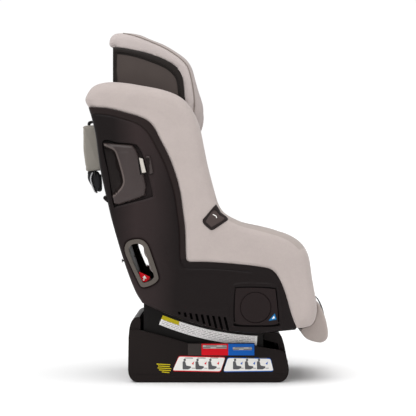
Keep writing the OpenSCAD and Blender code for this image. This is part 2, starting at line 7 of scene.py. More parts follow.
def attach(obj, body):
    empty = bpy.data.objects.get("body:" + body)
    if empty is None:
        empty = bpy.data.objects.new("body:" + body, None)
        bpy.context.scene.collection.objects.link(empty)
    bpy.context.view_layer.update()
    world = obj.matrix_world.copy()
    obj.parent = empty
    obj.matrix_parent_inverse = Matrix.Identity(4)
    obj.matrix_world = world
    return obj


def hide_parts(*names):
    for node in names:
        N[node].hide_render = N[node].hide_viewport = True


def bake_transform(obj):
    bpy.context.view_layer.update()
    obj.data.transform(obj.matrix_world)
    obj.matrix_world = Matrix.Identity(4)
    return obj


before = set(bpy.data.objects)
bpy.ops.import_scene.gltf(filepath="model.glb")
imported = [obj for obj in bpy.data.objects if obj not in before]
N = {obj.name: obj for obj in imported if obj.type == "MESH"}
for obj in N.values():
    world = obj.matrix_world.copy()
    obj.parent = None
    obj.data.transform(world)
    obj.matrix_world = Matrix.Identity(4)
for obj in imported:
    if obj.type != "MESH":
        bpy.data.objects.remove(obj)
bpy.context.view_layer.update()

scene = bpy.context.scene
rng = np.random.RandomState(7)

# ------------------------------------------------------------------ small maths
def A(p): return np.array(p, float)
def _cr(a, b, c, d, t): return 0.5 * ((2 * b) + (c - a) * t + (2 * a - 5 * b + 4 * c - d) * t * t + (3 * b - a - 3 * c + d) * t ** 3)
def closed_curve(p, n=4):
    p = A(p); m = len(p)
    return A([_cr(p[i - 1], p[i], p[(i + 1) % m], p[(i + 2) % m], k / n) for i in range(m) for k in range(n)])
def open_curve(p, n=4):
    p = A(p); m = len(p); out = []
    for i in range(m - 1):
        for k in range(n):
            out.append(_cr(p[max(i - 1, 0)], p[i], p[i + 1], p[min(i + 2, m - 1)], k / n))
    out.append(p[-1]); return A(out)
def resample(p, step, closed=False):
    p = A(p)
    if closed: p = np.vstack([p, p[:1]])
    L = np.concatenate([[0], np.cumsum(np.linalg.norm(np.diff(p, axis=0), axis=1))])
    n = max(2, int(round(L[-1] / step)))
    t = np.linspace(0, L[-1], n + 1)
    q = np.stack([np.interp(t, L, p[:, k]) for k in range(p.shape[1])], 1)
    return q[:-1] if closed else q
def refine(p, step, closed=True):
    """keeps every corner and adds points so that no edge is longer than step"""
    p = A(p); out = []; m = len(p)
    for i in range(m if closed else m - 1):
        a, b = p[i], p[(i + 1) % m]
        k = max(1, int(math.ceil(np.linalg.norm(b - a) / step)))
        for j in range(k): out.append(a + (b - a) * j / k)
    if not closed: out.append(p[-1])
    return A(out)
def dist(P, poly, closed=False):
    """distance of each point to a polyline"""
    P = A(P); poly = A(poly)
    a = poly if closed else poly[:-1]
    b = np.roll(poly, -1, 0) if closed else poly[1:]
    best = np.full(len(P), 1e9)
    for i in range(0, len(P), 4000):
        Q = P[i:i + 4000, None, :]
        ab = (b - a)[None]; l2 = (ab ** 2).sum(2) + 1e-12
        t = np.clip(((Q - a[None]) * ab).sum(2) / l2, 0, 1)
        d = np.sqrt((((a[None] + ab * t[..., None]) - Q) ** 2).sum(2))
        best[i:i + 4000] = d.min(1)
    return best
def inside(P, poly):
    P = A(P); poly = A(poly); x, z = P[:, 0], P[:, 1]; r = np.zeros(len(P), bool)
    for i in range(len(poly)):
        x0, z0 = poly[i]; x1, z1 = poly[(i + 1) % len(poly)]
        if z0 == z1: continue
        c = ((z0 > z) != (z1 > z)) & (x < (x1 - x0) * (z - z0) / (z1 - z0) + x0)
        r ^= c
    return r
def sdist(P, poly):
    d = dist(P, poly, True); return np.where(inside(P, poly), -d, d)
def area2(p):
    p = A(p); q = np.roll(p, -1, 0); return (p[:, 0] * q[:, 1] - q[:, 0] * p[:, 1]).sum() / 2
def grown(p, d):
    """closed outline moved outwards by d along its corner normals"""
    p = A(p); s = -1 if area2(p) > 0 else 1
    t = np.roll(p, -1, 0) - np.roll(p, 1, 0); t /= np.linalg.norm(t, axis=1)[:, None] + 1e-9
    return p + s * d * np.stack([-t[:, 1], t[:, 0]], 1)
def sstep(t): t = np.clip(t, 0, 1); return t * t * (3 - 2 * t)
def roundf(t, p=2.0): t = np.clip(t, 0, 1); return (1 - (1 - t) ** p) ** (1 / p)
def vnoise(P, scale, seed=0):
    """smooth value noise in 2-D or 3-D, -1..1"""
    P = A(P) / scale; k = P.shape[1]; i = np.floor(P).astype(int); f = P - i; f = f * f * (3 - 2 * f)
    tot = np.zeros(len(P))
    for c in range(2 ** k):
        o = A([(c >> j) & 1 for j in range(k)]).astype(int)
        w = np.prod(np.where(o == 1, f, 1 - f), axis=1)
        q = (i + o).astype(np.int64)
        h = q[:, 0] * 374761393 + q[:, 1] * 668265263 + (q[:, 2] * 2147483647 if k > 2 else 0) + seed * 144269
        h = (h ^ (h >> 13)) * 1274126177; h = h ^ (h >> 16)
        tot += w * ((h & 0xffff) / 32767.5 - 1)
    return tot

# ------------------------------------------------------------------ mesh building
def mesh_obj(name, verts, faces, smooth=35, uv=None):
    me = bpy.data.meshes.new(name)
    me.from_pydata([tuple(v) for v in verts], [], [tuple(int(i) for i in f) for f in faces])
    me.validate(); me.update()
    ob = bpy.data.objects.new(name, me); scene.collection.objects.link(ob)
    me.polygons.foreach_set("use_smooth", [True] * len(me.polygons))
    if smooth: me.set_sharp_from_angle(angle=math.radians(smooth))
    return ob
def fix_normals(ob):
    bm = bmesh.new(); bm.from_mesh(ob.data); bmesh.ops.remove_doubles(bm, verts=bm.verts, dist=1e-6)
    bmesh.ops.recalc_face_normals(bm, faces=bm.faces); bm.to_mesh(ob.data); bm.free(); ob.data.update()
def cdt(outline, pts, cons, holes):
    """triangulates outline with inner points and constraint loops; returns points and triangles"""
    V = [tuple(p) for p in outline]; E = [(i, (i + 1) % len(V)) for i in range(len(V))]
    for loop, closed in cons:
        b = len(V); V += [tuple(p) for p in loop]; m = len(loop)
        E += [(b + i, b + (i + 1) % m) for i in range(m if closed else m - 1)]
    V += [tuple(p) for p in pts]
    r = delaunay_2d_cdt([Vector(v) for v in V], E, [], 0, 1e-4)
    P = A([(v[0], v[1]) for v in r[0]]); T = A(r[2]).astype(int)
    c = P[T].mean(1); keep = inside(c, outline)
    for h in holes: keep &= ~inside(c, h)
    T = T[keep]
    # drop slivers along straight edges
    a = P[T[:, 1]] - P[T[:, 0]]; b = P[T[:, 2]] - P[T[:, 0]]
    ar = np.abs(a[:, 0] * b[:, 1] - a[:, 1] * b[:, 0])
    T = T[ar > 1e-7]
    used = np.unique(T); m = -np.ones(len(P), int); m[used] = np.arange(len(used))
    return P[used], m[T]
def slab(name, outline, front, back, side=-1, step=5.0, grid=6.0, rings=(1.0, 2.4, 4.2, 6.5, 9.5, 13.5), feats=(), holes=(), inner_rings=(), smooth=35, lines=()):
    """closed solid between two height fields over a side-view outline (mm): front(P) and back(P) are distances |y|.
    side -1 is the right-hand side (towards -Y)."""
    outline = refine(outline, step)
    pts, cons = [], []
    s = -1 if area2(outline) > 0 else 1
    for r in rings:
        q = grown(outline, -r); ok = (dist(q, outline, True) > r - 0.12) & inside(q, outline)
        pts.append(q[ok])
    for f in feats:
        cons.append((refine(f, step), True))
    for f in lines:
        cons.append((refine(f, step, False), False))
    for h in holes:
        hh = refine(h, step); cons.append((hh, True))
        for r in (1.2, 3.0, 5.5):
            q = grown(hh, r); pts.append(q[(dist(q, hh, True) > r - 0.1) & inside(q, outline)])
    for f, rr in inner_rings:
        f = refine(f, step)
        for r in rr:
            q = grown(f, r); pts.append(q[(dist(q, f, True) > abs(r) - 0.12) & inside(q, outline)])
    lo, hi = outline.min(0), outline.max(0)
    gx = np.arange(lo[0], hi[0], grid); gz = np.arange(lo[1], hi[1], grid * 0.87)
    G = A([(x + (grid / 2 if j % 2 else 0), z) for j, z in enumerate(gz) for x in gx]) + 0.013
    d = dist(G, outline, True)
    ok = inside(G, outline) & (d > (max(rings) if rings else 0) + grid * 0.45)
    for f, _ in cons: ok &= dist(G, f, True) > grid * 0.35
    pts.append(G[ok]); pts = np.vstack(pts)
    # remove points too close to constraint lines
    for f, _ in cons: pts = pts[dist(pts, f, True) > 0.25]
    P, T = cdt(outline, pts, cons, holes)
    yf, yb = front(P), back(P)
    n = len(P)
    Vf = np.stack([P[:, 0], side * yf, P[:, 1]], 1); Vb = np.stack([P[:, 0], side * yb, P[:, 1]], 1)
    V = np.vstack([Vf, Vb]) / 1000.0
    F = [tuple(t) for t in T] + [tuple(t[::-1] + n) for t in T]
    # side walls on boundary edges
    from collections import Counter
    cnt = Counter(); dirn = {}
    for t in T:
        for k in range(3):
            e = (t[k], t[(k + 1) % 3]); key = (min(e), max(e)); cnt[key] += 1; dirn[key] = e
    for key, c in cnt.items():
        if c == 1:
            a, b = dirn[key]; F.append((b, a, a + n, b + n))
    ob = mesh_obj(name, V, F, None)
    fix_normals(ob)
    if smooth: ob.data.set_sharp_from_angle(angle=math.radians(smooth))
    return ob
def mirrored(ob, name):
    me = ob.data.copy(); me.transform(Matrix.Scale(-1, 4, (0, 1, 0))); me.flip_normals(); me.update()
    o = bpy.data.objects.new(name, me); scene.collection.objects.link(o)
    for m in ob.modifiers:
        k = o.modifiers.new(m.name, m.type)
        for prop in m.bl_rna.properties:
            if not prop.is_readonly and prop.identifier not in ("name",):
                try: setattr(k, prop.identifier, getattr(m, prop.identifier))
                except Exception: pass
    return o
def loft_pad(name, prof, y0, y1, ny=28, r=12, crown=None, step=6, ends=True, warp=None):
    """closed pad: a side-view profile carried across from y0 to y1 with rounded ends (mm)"""
    prof = resample(refine(prof, step), step, True)
    if area2(prof) > 0: prof = prof[::-1]
    ys = [y0, y0 + r * 0.08, y0 + r * 0.25, y0 + r * 0.5, y0 + r * 0.78, y0 + r * 1.1] + list(np.linspace(y0 + r * 1.6, y1 - r * 1.6, ny)) + [y1 - r * 1.1, y1 - r * 0.78, y1 - r * 0.5, y1 - r * 0.25, y1 - r * 0.08, y1]
    V, F = [], []; m = len(prof)
    for y in ys:
        e = min(y - y0, y1 - y); ins = r * (1 - math.sqrt(max(0, 1 - (1 - min(e / r, 1)) ** 2)))
        q = grown(prof, -ins * 0.92) if ins > 0 else prof
        Q = np.stack([q[:, 0], np.full(m, y), q[:, 1]], 1)
        if crown is not None:
            t = np.roll(q, -1, 0) - np.roll(q, 1, 0); t /= np.linalg.norm(t, axis=1)[:, None] + 1e-9
            nn = np.stack([-t[:, 1], t[:, 0]], 1)
            d = crown(q, y, nn)
            Q[:, 0] += nn[:, 0] * d; Q[:, 2] += nn[:, 1] * d
        V.append(Q)
    V = np.vstack(V)
    if warp is not None: V = warp(V)
    k = len(ys)
    for j in range(k - 1):
        for i in range(m):
            a, b = j * m + i, j * m + (i + 1) % m
            F.append((a, b, b + m, a + m))
    F.append(tuple(range(m))[::-1]); F.append(tuple(range((k - 1) * m, k * m)))
    ob = mesh_obj(name, V / 1000.0, F, None)
    bm = bmesh.new(); bm.from_mesh(ob.data)
    caps = [f for f in bm.faces if len(f.verts) > 4]
    bmesh.ops.triangulate(bm, faces=caps, ngon_method="BEAUTY"); bmesh.ops.recalc_face_normals(bm, faces=bm.faces)
    bm.to_mesh(ob.data); bm.free(); ob.data.set_sharp_from_angle(angle=math.radians(60))
    return ob
def sweep(name, path, prof, up=None, closed=False, cap=True, ups=None, scale=None):
    """carries a closed 2-D profile (mm, first axis sideways, second axis along up) along a 3-D path (mm)"""
    path = A(path); prof = A(prof); m = len(prof); V, F = [], []; n = len(path)
    T = np.gradient(path, axis=0) if not closed else (np.roll(path, -1, 0) - np.roll(path, 1, 0))
    T /= np.linalg.norm(T, axis=1)[:, None] + 1e-12
    for i in range(n):
        u = A(ups[i]) if ups is not None else A(up)
        s = np.cross(T[i], u); s /= np.linalg.norm(s) + 1e-12; w = np.cross(s, T[i])
        k = 1 if scale is None else scale[i]
        V.append(path[i] + prof[:, :1] * k * s + prof[:, 1:2] * k * w)
    V = np.vstack(V)
    for j in range(n if closed else n - 1):
        for i in range(m):
            a, b = j * m + i, j * m + (i + 1) % m; c, d = ((j + 1) % n) * m + (i + 1) % m, ((j + 1) % n) * m + i
            F.append((a, b, c, d))
    if cap and not closed:
        F.append(tuple(range(m))[::-1]); F.append(tuple(range((n - 1) * m, n * m)))
    ob = mesh_obj(name, V / 1000.0, F, None); fix_normals(ob)
    ob.data.set_sharp_from_angle(angle=math.radians(50)); return ob
def circle(r, n=12, sx=1, sy=1): return [(r * sx * math.cos(2 * math.pi * i / n), r * sy * math.sin(2 * math.pi * i / n)) for i in range(n)]
def rrect(w, h, r, n=3):
    out = []
    for cx, cy, a0 in ((w / 2 - r, h / 2 - r, 0), (-w / 2 + r, h / 2 - r, 90), (-w / 2 + r, -h / 2 + r, 180), (w / 2 - r, -h / 2 + r, 270)):
        for k in range(n + 1):
            a = math.radians(a0 + 90 * k / n); out.append((cx + r * math.cos(a), cy + r * math.sin(a)))
    return out
def box_obj(name, lo, hi, bevel=1.0, seg=2, M=None):
    lo, hi = A(lo), A(hi)
    bm = bmesh.new(); bmesh.ops.create_cube(bm, size=1)
    for v in bm.verts:
        c = A(v.co) + 0.5; v.co = Vector((lo + (hi - lo) * c) / 1000)
    if bevel: bmesh.ops.bevel(bm, geom=bm.edges[:], offset=bevel / 1000, segments=seg, affect="EDGES", profile=0.5)
    me = bpy.data.meshes.new(name); bm.to_mesh(me); bm.free()
    if M is not None: me.transform(M)
    ob = bpy.data.objects.new(name, me); scene.collection.objects.link(ob)
    me.polygons.foreach_set("use_smooth", [True] * len(me.polygons)); me.set_sharp_from_angle(angle=math.radians(40))
    return ob
def subsurf(ob, n=1):
    m = ob.modifiers.new("sub", "SUBSURF"); m.levels = n; m.render_levels = n; return ob
def inflate(ob, voxel=5.0, pressure=4.0, cap=8.0, frames=20, shrink=-0.02, keep=None):
    """swells the pad with a cloth simulation, caps how far a point moves, and applies the result"""
    bpy.context.view_layer.objects.active = ob
    for o in bpy.context.selected_objects: o.select_set(False)
    ob.select_set(True)
    r = ob.modifiers.new("remesh", "REMESH"); r.mode = "VOXEL"; r.voxel_size = voxel / 1000; r.use_smooth_shade = True
    bpy.ops.object.modifier_apply(modifier="remesh")
    co0 = np.zeros(len(ob.data.vertices) * 3); ob.data.vertices.foreach_get("co", co0); co0 = co0.reshape(-1, 3)
    c = ob.modifiers.new("cloth", "CLOTH"); s = c.settings
    s.quality = 5; s.mass = 0.3; s.tension_stiffness = 25; s.compression_stiffness = 25; s.shear_stiffness = 12; s.bending_stiffness = 1.5
    s.use_pressure = True; s.uniform_pressure_force = pressure; s.effector_weights.gravity = 0; s.shrink_min = shrink
    c.collision_settings.use_collision = False; c.collision_settings.use_self_collision = False
    c.point_cache.frame_start = 1; c.point_cache.frame_end = frames + 1
    for f in range(1, frames + 1): scene.frame_set(f)
    dg = bpy.context.evaluated_depsgraph_get(); ev = ob.evaluated_get(dg)
    co = np.zeros(len(ev.data.vertices) * 3); ev.data.vertices.foreach_get("co", co); co = co.reshape(-1, 3)
    ob.modifiers.remove(c); scene.frame_set(1)
    d = co - co0; L = np.linalg.norm(d, axis=1)[:, None] + 1e-12
    d = d / L * np.minimum(L, cap / 1000.0)
    if keep is not None: d *= keep(co0 * 1000)[:, None]
    ob.data.vertices.foreach_set("co", (co0 + d).ravel()); ob.data.update()
    sm = ob.modifiers.new("smooth", "SMOOTH"); sm.factor = 0.5; sm.iterations = 3
    bpy.ops.object.modifier_apply(modifier="smooth")
    ob.data.polygons.foreach_set("use_smooth", [True] * len(ob.data.polygons))
    return ob

# ------------------------------------------------------------------ materials
def srgb(r, g, b):
    f = lambda v: ((v / 255 + 0.055) / 1.055) ** 2.4 if v / 255 > 0.04045 else v / 255 / 12.92
    return (f(r), f(g), f(b), 1.0)
class NT:
    def __init__(s, name):
        s.m = bpy.data.materials.new(name); s.m.use_nodes = True; s.t = s.m.node_tree
        s.b = s.t.nodes["Principled BSDF"]
    def n(s, kind, **kw):
        x = s.t.nodes.new(kind)
        for k, v in kw.items(): setattr(x, k, v)
        return x
    def l(s, a, b): s.t.links.new(a, b)
    def obj(s): return s.n("ShaderNodeTexCoord").outputs["Object"]
    def noise(s, scale, detail=2, rough=0.5, vec=None):
        x = s.n("ShaderNodeTexNoise"); x.inputs["Scale"].default_value = scale; x.inputs["Detail"].default_value = detail; x.inputs["Roughness"].default_value = rough
        s.l(vec if vec is not None else s.obj(), x.inputs["Vector"]); return x
    def ramp(s, fac, stops):
        x = s.n("ShaderNodeValToRGB"); el = x.color_ramp.elements
        while len(el) < len(stops): el.new(0.5)
        for e, (p, c) in zip(el, stops): e.position = p; e.color = c
        s.l(fac, x.inputs["Fac"]); return x
    def maprange(s, v, a, b, c, d):
        x = s.n("ShaderNodeMapRange"); x.inputs[1].default_value = a; x.inputs[2].default_value = b; x.inputs[3].default_value = c; x.inputs[4].default_value = d
        s.l(v, x.inputs[0]); return x.outputs[0]
    def math(s, op, a, b=None):
        x = s.n("ShaderNodeMath", operation=op)
        for i, v in enumerate((a, b)):
            if v is None: continue
            if isinstance(v, (int, float)): x.inputs[i].default_value = v
            else: s.l(v, x.inputs[i])
        return x.outputs[0]
def plastic(name, col, rough=0.46, grain=900, bump=0.12, var=0.05, spec=0.13, band=None):
    t = NT(name); c = srgb(*col)
    big = t.noise(9, 3); fine = t.noise(grain, 3, 0.6)
    lo = tuple(x * (1 - var * 2.2) for x in c[:3]) + (1,); hi = tuple(min(1, x * (1 + var * 2.2)) for x in c[:3]) + (1,)
    if band is None:
        t.l(t.ramp(big.outputs["Fac"], [(0.3, lo), (0.7, hi)]).outputs["Color"], t.b.inputs["Base Color"])
    else:
        sx = t.n("ShaderNodeSeparateXYZ"); t.l(t.obj(), sx.inputs[0])
        # band: painted highlight and shade, a colour ramp along object X that makes vertical stripes of the base colour
        # lighter or darker
        pos = t.math("ADD", t.maprange(sx.outputs[0], -0.25, 0.25, 0.0, 1.0), t.math("MULTIPLY", t.math("SUBTRACT", big.outputs["Fac"], 0.5), 0.05))
        t.l(t.ramp(pos, [(p_, srgb(*q_)) for p_, q_ in band]).outputs["Color"], t.b.inputs["Base Color"])
    t.l(t.maprange(fine.outputs["Fac"], 0.3, 0.7, rough - 0.05, rough + 0.07), t.b.inputs["Roughness"])
    t.b.inputs["Specular IOR Level"].default_value = spec
    b = t.n("ShaderNodeBump"); b.inputs["Strength"].default_value = bump; b.inputs["Distance"].default_value = 0.0004
    t.l(fine.outputs["Fac"], b.inputs["Height"]); t.l(b.outputs["Normal"], t.b.inputs["Normal"])
    return t.m
def fabric(name, col, scale=1.0, sheen=0.12, rough=0.9, var=0.026, bump=0.35, mottle=0.03):
    """knit cloth: fine crossed ribs, soft mottling, slight sheen"""
    t = NT(name); c = srgb(*col); v = t.obj()
    def wave(dirn, sc, dist_):
        w = t.n("ShaderNodeTexWave"); w.wave_type = "BANDS"; w.bands_direction = dirn; w.wave_profile = "SIN"
        w.inputs["Scale"].default_value = sc; w.inputs["Distortion"].default_value = dist_; w.inputs["Detail"].default_value = 1.5; w.inputs["Detail Scale"].default_value = 2
        t.l(v, w.inputs["Vector"]); return w.outputs["Fac"]
    # about one rib every 0.9 mm
    a = wave("X", 330 / scale, 0.6); b = wave("Z", 330 / scale, 0.6); y = wave("Y", 330 / scale, 0.6)
    h = t.math("ADD", t.math("MULTIPLY", a, b), t.math("MULTIPLY", y, 0.45))
    big = t.noise(22, 4, 0.6); mid = t.noise(260, 3, 0.6)
    mix = t.math("ADD", t.math("MULTIPLY", big.outputs["Fac"], 0.55), t.math("MULTIPLY", mid.outputs["Fac"], 0.45))
    mix = t.math("ADD", mix, t.math("MULTIPLY", h, mottle * 2))
    lo = tuple(x * (1 - var * 2) for x in c[:3]) + (1,); hi = tuple(min(1, x * (1 + var * 2)) for x in c[:3]) + (1,)
    t.l(t.ramp(mix, [(0.35, lo), (0.75, hi)]).outputs["Color"], t.b.inputs["Base Color"])
    t.l(t.maprange(mid.outputs["Fac"], 0.3, 0.7, rough - 0.05, min(1, rough + 0.06)), t.b.inputs["Roughness"])
    t.b.inputs["Sheen Weight"].default_value = sheen; t.b.inputs["Sheen Roughness"].default_value = 0.45
    t.b.inputs["Specular IOR Level"].default_value = 0.25
    bb = t.n("ShaderNodeBump"); bb.inputs["Strength"].default_value = bump; bb.inputs["Distance"].default_value = 0.0005
    t.l(h, bb.inputs["Height"])
    b2 = t.n("ShaderNodeBump"); b2.inputs["Strength"].default_value = 0.12; b2.inputs["Distance"].default_value = 0.002
    t.l(t.noise(60, 3, 0.55).outputs["Fac"], b2.inputs["Height"]); t.l(bb.outputs["Normal"], b2.inputs["Normal"]); t.l(b2.outputs["Normal"], t.b.inputs["Normal"])
    return t.m
def webbing_mat(name, col, period=2.2):
    t = NT(name); c = srgb(*col); v = t.obj()
    def wave(dirn, sc):
        w = t.n("ShaderNodeTexWave"); w.wave_type = "BANDS"; w.bands_direction = dirn
        w.inputs["Scale"].default_value = sc; w.inputs["Distortion"].default_value = 0.3; t.l(v, w.inputs["Vector"]); return w.outputs["Fac"]
    h = t.math("MULTIPLY", wave("DIAGONAL", 200), wave("Y", 300))
    no = t.noise(400, 3); mix = t.math("ADD", t.math("MULTIPLY", h, 0.5), t.math("MULTIPLY", no.outputs["Fac"], 0.5))
    lo = tuple(x * 0.7 for x in c[:3]) + (1,); hi = tuple(min(1, x * 1.5) for x in c[:3]) + (1,)
    t.l(t.ramp(mix, [(0.2, lo), (0.8, hi)]).outputs["Color"], t.b.inputs["Base Color"])
    t.l(t.maprange(no.outputs["Fac"], 0.3, 0.7, 0.55, 0.75), t.b.inputs["Roughness"])
    b = t.n("ShaderNodeBump"); b.inputs["Strength"].default_value = 0.5; b.inputs["Distance"].default_value = 0.0005
    t.l(h, b.inputs["Height"]); t.l(b.outputs["Normal"], t.b.inputs["Normal"]); return t.m
def metal(name, col, rough=0.32):
    t = NT(name); c = srgb(*col); t.b.inputs["Metallic"].default_value = 1.0
    n1 = t.noise(30, 3); s = t.n("ShaderNodeMapping"); s.inputs["Scale"].default_value = (1, 1, 60); t.l(t.obj(), s.inputs["Vector"])
    n2 = t.noise(80, 4, 0.6, s.outputs["Vector"])
    lo = tuple(x * 0.85 for x in c[:3]) + (1,); hi = tuple(min(1, x * 1.12) for x in c[:3]) + (1,)
    t.l(t.ramp(n1.outputs["Fac"], [(0.3, lo), (0.7, hi)]).outputs["Color"], t.b.inputs["Base Color"])
    t.l(t.maprange(n2.outputs["Fac"], 0.3, 0.7, rough - 0.07, rough + 0.1), t.b.inputs["Roughness"])
    return t.m
def print_label(name, base, ink, aspect, rows=6, word=0.26, bar=0.5, x0=0.15, x1=None, y0=0.1, y1=0.9, rough=0.35):
    """printed label: rows of short grey bars in place of text; the UV map runs 0..aspect along and 0..1 up"""
    t = NT(name); uv = t.n("ShaderNodeTexCoord").outputs["UV"]; x1 = aspect - 0.15 if x1 is None else x1
    br = t.n("ShaderNodeTexBrick"); br.offset = 0.37; br.squash = 1.0
    rh = 1.0 / rows
    br.inputs["Scale"].default_value = 1.0; br.inputs["Brick Width"].default_value = word; br.inputs["Row Height"].default_value = rh
    br.inputs["Mortar Size"].default_value = rh * (1 - bar) / 2; br.inputs["Mortar Smooth"].default_value = 0.1
    br.inputs["Color1"].default_value = srgb(*ink); br.inputs["Color2"].default_value = tuple(min(1, x * 1.6) for x in srgb(*ink)[:3]) + (1,)
    br.inputs["Mortar"].default_value = srgb(*base)
    t.l(uv, br.inputs["Vector"])
    sp = t.n("ShaderNodeSeparateXYZ"); t.l(uv, sp.inputs[0])
    def win(v, a, b):
        return t.math("MULTIPLY", t.math("GREATER_THAN", v, a), t.math("LESS_THAN", v, b))
    m = t.math("MULTIPLY", win(sp.outputs[0], x0, x1), win(sp.outputs[1], y0, y1))
    mx = t.n("ShaderNodeMix"); mx.data_type = "RGBA"; t.l(m, mx.inputs["Factor"]); mx.inputs[6].default_value = srgb(*base); t.l(br.outputs["Color"], mx.inputs[7])
    t.l(mx.outputs[2], t.b.inputs["Base Color"])
    n1 = t.noise(150, 2); t.l(t.maprange(n1.outputs["Fac"], 0.3, 0.7, rough - 0.05, rough + 0.08), t.b.inputs["Roughness"])
    return t.m

M = {}
M["fabric"] = fabric("seat_fabric_knit", (175, 164, 160))
M["fabric_head"] = fabric("headrest_fabric_knit", (180, 170, 167))
M["fabric_insert"] = fabric("seat_insert_knit", (172, 162, 157), scale=1.3)
# darker copy of the seat knit: painted shade on the side roll beyond its seam
M["fabric_dark"] = fabric("seat_knit_painted_shade", (164, 154, 149), scale=1.0)
M["fabric_calf"] = fabric("calf_knit", (167, 156, 151), scale=1.0)
# darker copy of the headrest knit: painted shade on the wing's front band beyond the seam
M["fabric_head_edge"] = fabric("headrest_knit_painted_shade", (166, 156, 153))
M["piping"] = fabric("piping_cord", (128, 118, 112), scale=0.8)
M["sleeve"] = fabric("sleeve_weave", (143, 138, 130), scale=1.2, sheen=0.08)
# shell colour: painted highlight as a lighter vertical stripe near x = -0.15 to -0.12 m, with painted shade darker
# towards both sides
M["shell"] = plastic("shell_painted_highlight_band", (23, 16, 16), 0.44, band=[(0.0, (16, 10, 10)), (0.1, (18, 11, 11)), (0.2, (44, 34, 34)), (0.27, (40, 31, 31)), (0.36, (20, 13, 13)), (1.0, (20, 13, 13))])
# near-black painted shade for the floors of the vent slots
M["void"] = plastic("vent_painted_shade", (6, 5, 5), 0.6, spec=0.05)
# lighter copy of the shell plastic: painted highlight on the raised rim band along the cover edge
M["rim"] = plastic("shell_rim_painted_highlight", (32, 23, 22), 0.36)
M["inner"] = plastic("inner_moulded", (34, 29, 28), 0.55)
M["base"] = plastic("base_moulded", (28, 22, 21), 0.42, spec=0.09)
M["track"] = plastic("track_moulded", (17, 14, 13), 0.45)
M["bezel"] = plastic("bezel_moulded", (84, 78, 73), 0.42)
M["guide"] = plastic("guide_moulded", (70, 60, 58), 0.36)
M["guide_edge"] = plastic("guide_edge_moulded", (34, 27, 26), 0.38)
M["control"] = plastic("control_moulded", (36, 32, 31), 0.4)
M["head_shell"] = plastic("headrest_moulded", (31, 26, 24), 0.42)
M["head_panel"] = plastic("headrest_panel_moulded", (70, 62, 59), 0.58)
M["pod"] = plastic("pod_moulded", (54, 45, 44), 0.33, spec=0.3)
# lighter copy of the pod plastic: painted highlight along the pod's ridge
M["pod_ridge"] = plastic("pod_ridge_moulded", (84, 74, 71), 0.3, spec=0.3)
# darker copy of the pod plastic: painted shade in the hollow behind the ridge; the tab stops also use it
M["pod_dark"] = plastic("pod_hollow_painted_shade", (24, 18, 17), 0.5)
M["tab"] = plastic("tab_moulded", (190, 184, 176), 0.35, var=0.02)
def stem_painted_shade(m):
    """paints shade onto the stem behind the tab's slanted edge: below that slanted line the tab's colour gives way to a
    dark colour
    """
    nt = m.node_tree; b = [n for n in nt.nodes if n.type == "BSDF_PRINCIPLED"][0]; old = b.inputs["Base Color"].links[0].from_socket
    tc = nt.nodes.new("ShaderNodeTexCoord"); sp = nt.nodes.new("ShaderNodeSeparateXYZ"); nt.links.new(tc.outputs["Object"], sp.inputs[0])
    k = nt.nodes.new("ShaderNodeMath"); k.operation = "MULTIPLY_ADD"; nt.links.new(sp.outputs[2], k.inputs[0]); k.inputs[1].default_value = 0.187; nt.links.new(sp.outputs[0], k.inputs[2])
    lt = nt.nodes.new("ShaderNodeMath"); lt.operation = "LESS_THAN"; nt.links.new(k.outputs[0], lt.inputs[0]); lt.inputs[1].default_value = -0.1428 + 0.187 * 0.462
    # dark painted shade colour for the stem
    mx = nt.nodes.new("ShaderNodeMix"); mx.data_type = "RGBA"; nt.links.new(lt.outputs[0], mx.inputs["Factor"]); nt.links.new(old, mx.inputs[6]); mx.inputs[7].default_value = srgb(20, 15, 14)
    nt.links.new(mx.outputs[2], b.inputs["Base Color"])
# painted shade on the white tab's stem
stem_painted_shade(M["tab"])
M["cup"] = plastic("cup_moulded", (29, 20, 20), 0.4)
M["red"] = plastic("red_moulded", (208, 2, 26), 0.35, var=0.02)
M["blue"] = plastic("blue_moulded", (6, 88, 176), 0.35, var=0.02)
M["greyblock"] = plastic("grey_block", (54, 48, 46), 0.45, var=0.02)
M["rubber"] = plastic("foot_rubber", (28, 27, 27), 0.75, grain=500, bump=0.3)
M["web"] = webbing_mat("harness_webbing", (30, 28, 28))
M["steel"] = metal("bright_steel", (176, 176, 178))
M["hook"] = plastic("coated_hook", (40, 40, 42), 0.3)
M["white"] = plastic("white_print", (232, 230, 226), 0.35, var=0.01, bump=0.02)
M["tick"] = print_label("strip_print", (168, 166, 162), (70, 66, 66), 7, rows=2, word=0.7, bar=0.5, x0=0.0, x1=1.0, y0=0.1, y1=0.9)
M["cup_blue"] = plastic("cup_sticker", (8, 104, 160), 0.35, var=0.02)
M["ymark"] = print_label("yellow_print_rows", (27, 21, 20), (222, 204, 20), 1, rows=4, word=0.5, bar=0.36, x0=0.0, x1=1.0, y0=0.02, y1=0.98, rough=0.4)
M["ink"] = plastic("grey_ink", (88, 88, 90), 0.4, var=0.02, bump=0.02)
M["yellow"] = plastic("yellow_print", (206, 188, 24), 0.4, var=0.02, bump=0.02)

def mat(ob, m):
    ob.data.materials.clear(); ob.data.materials.append(M[m] if isinstance(m, str) else m); return ob
def ride(ob, body, rep=()):
    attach(ob, body)
    if rep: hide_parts(*rep)
    return ob
def cad(node, m, bevel=0.8, seg=2, angle=32):
    """keeps a CAD node, with softened edges and a better material"""
    o = N[node]; o.data.materials.clear(); o.data.materials.append(M[m] if isinstance(m, str) else m)
    if bevel:
        w = o.modifiers.new("weld", "WELD"); w.merge_threshold = 1e-5
        d = o.modifiers.new("planar", "DECIMATE"); d.decimate_type = "DISSOLVE"; d.angle_limit = math.radians(1.0)
        b = o.modifiers.new("bevel", "BEVEL"); b.width = bevel / 1000; b.segments = seg; b.limit_method = "ANGLE"; b.angle_limit = math.radians(angle); b.use_clamp_overlap = True; b.harden_normals = False
    o.data.polygons.foreach_set("use_smooth", [True] * len(o.data.polygons))
    k = o.modifiers.new("wn", "WEIGHTED_NORMAL"); k.keep_sharp = True
    return o

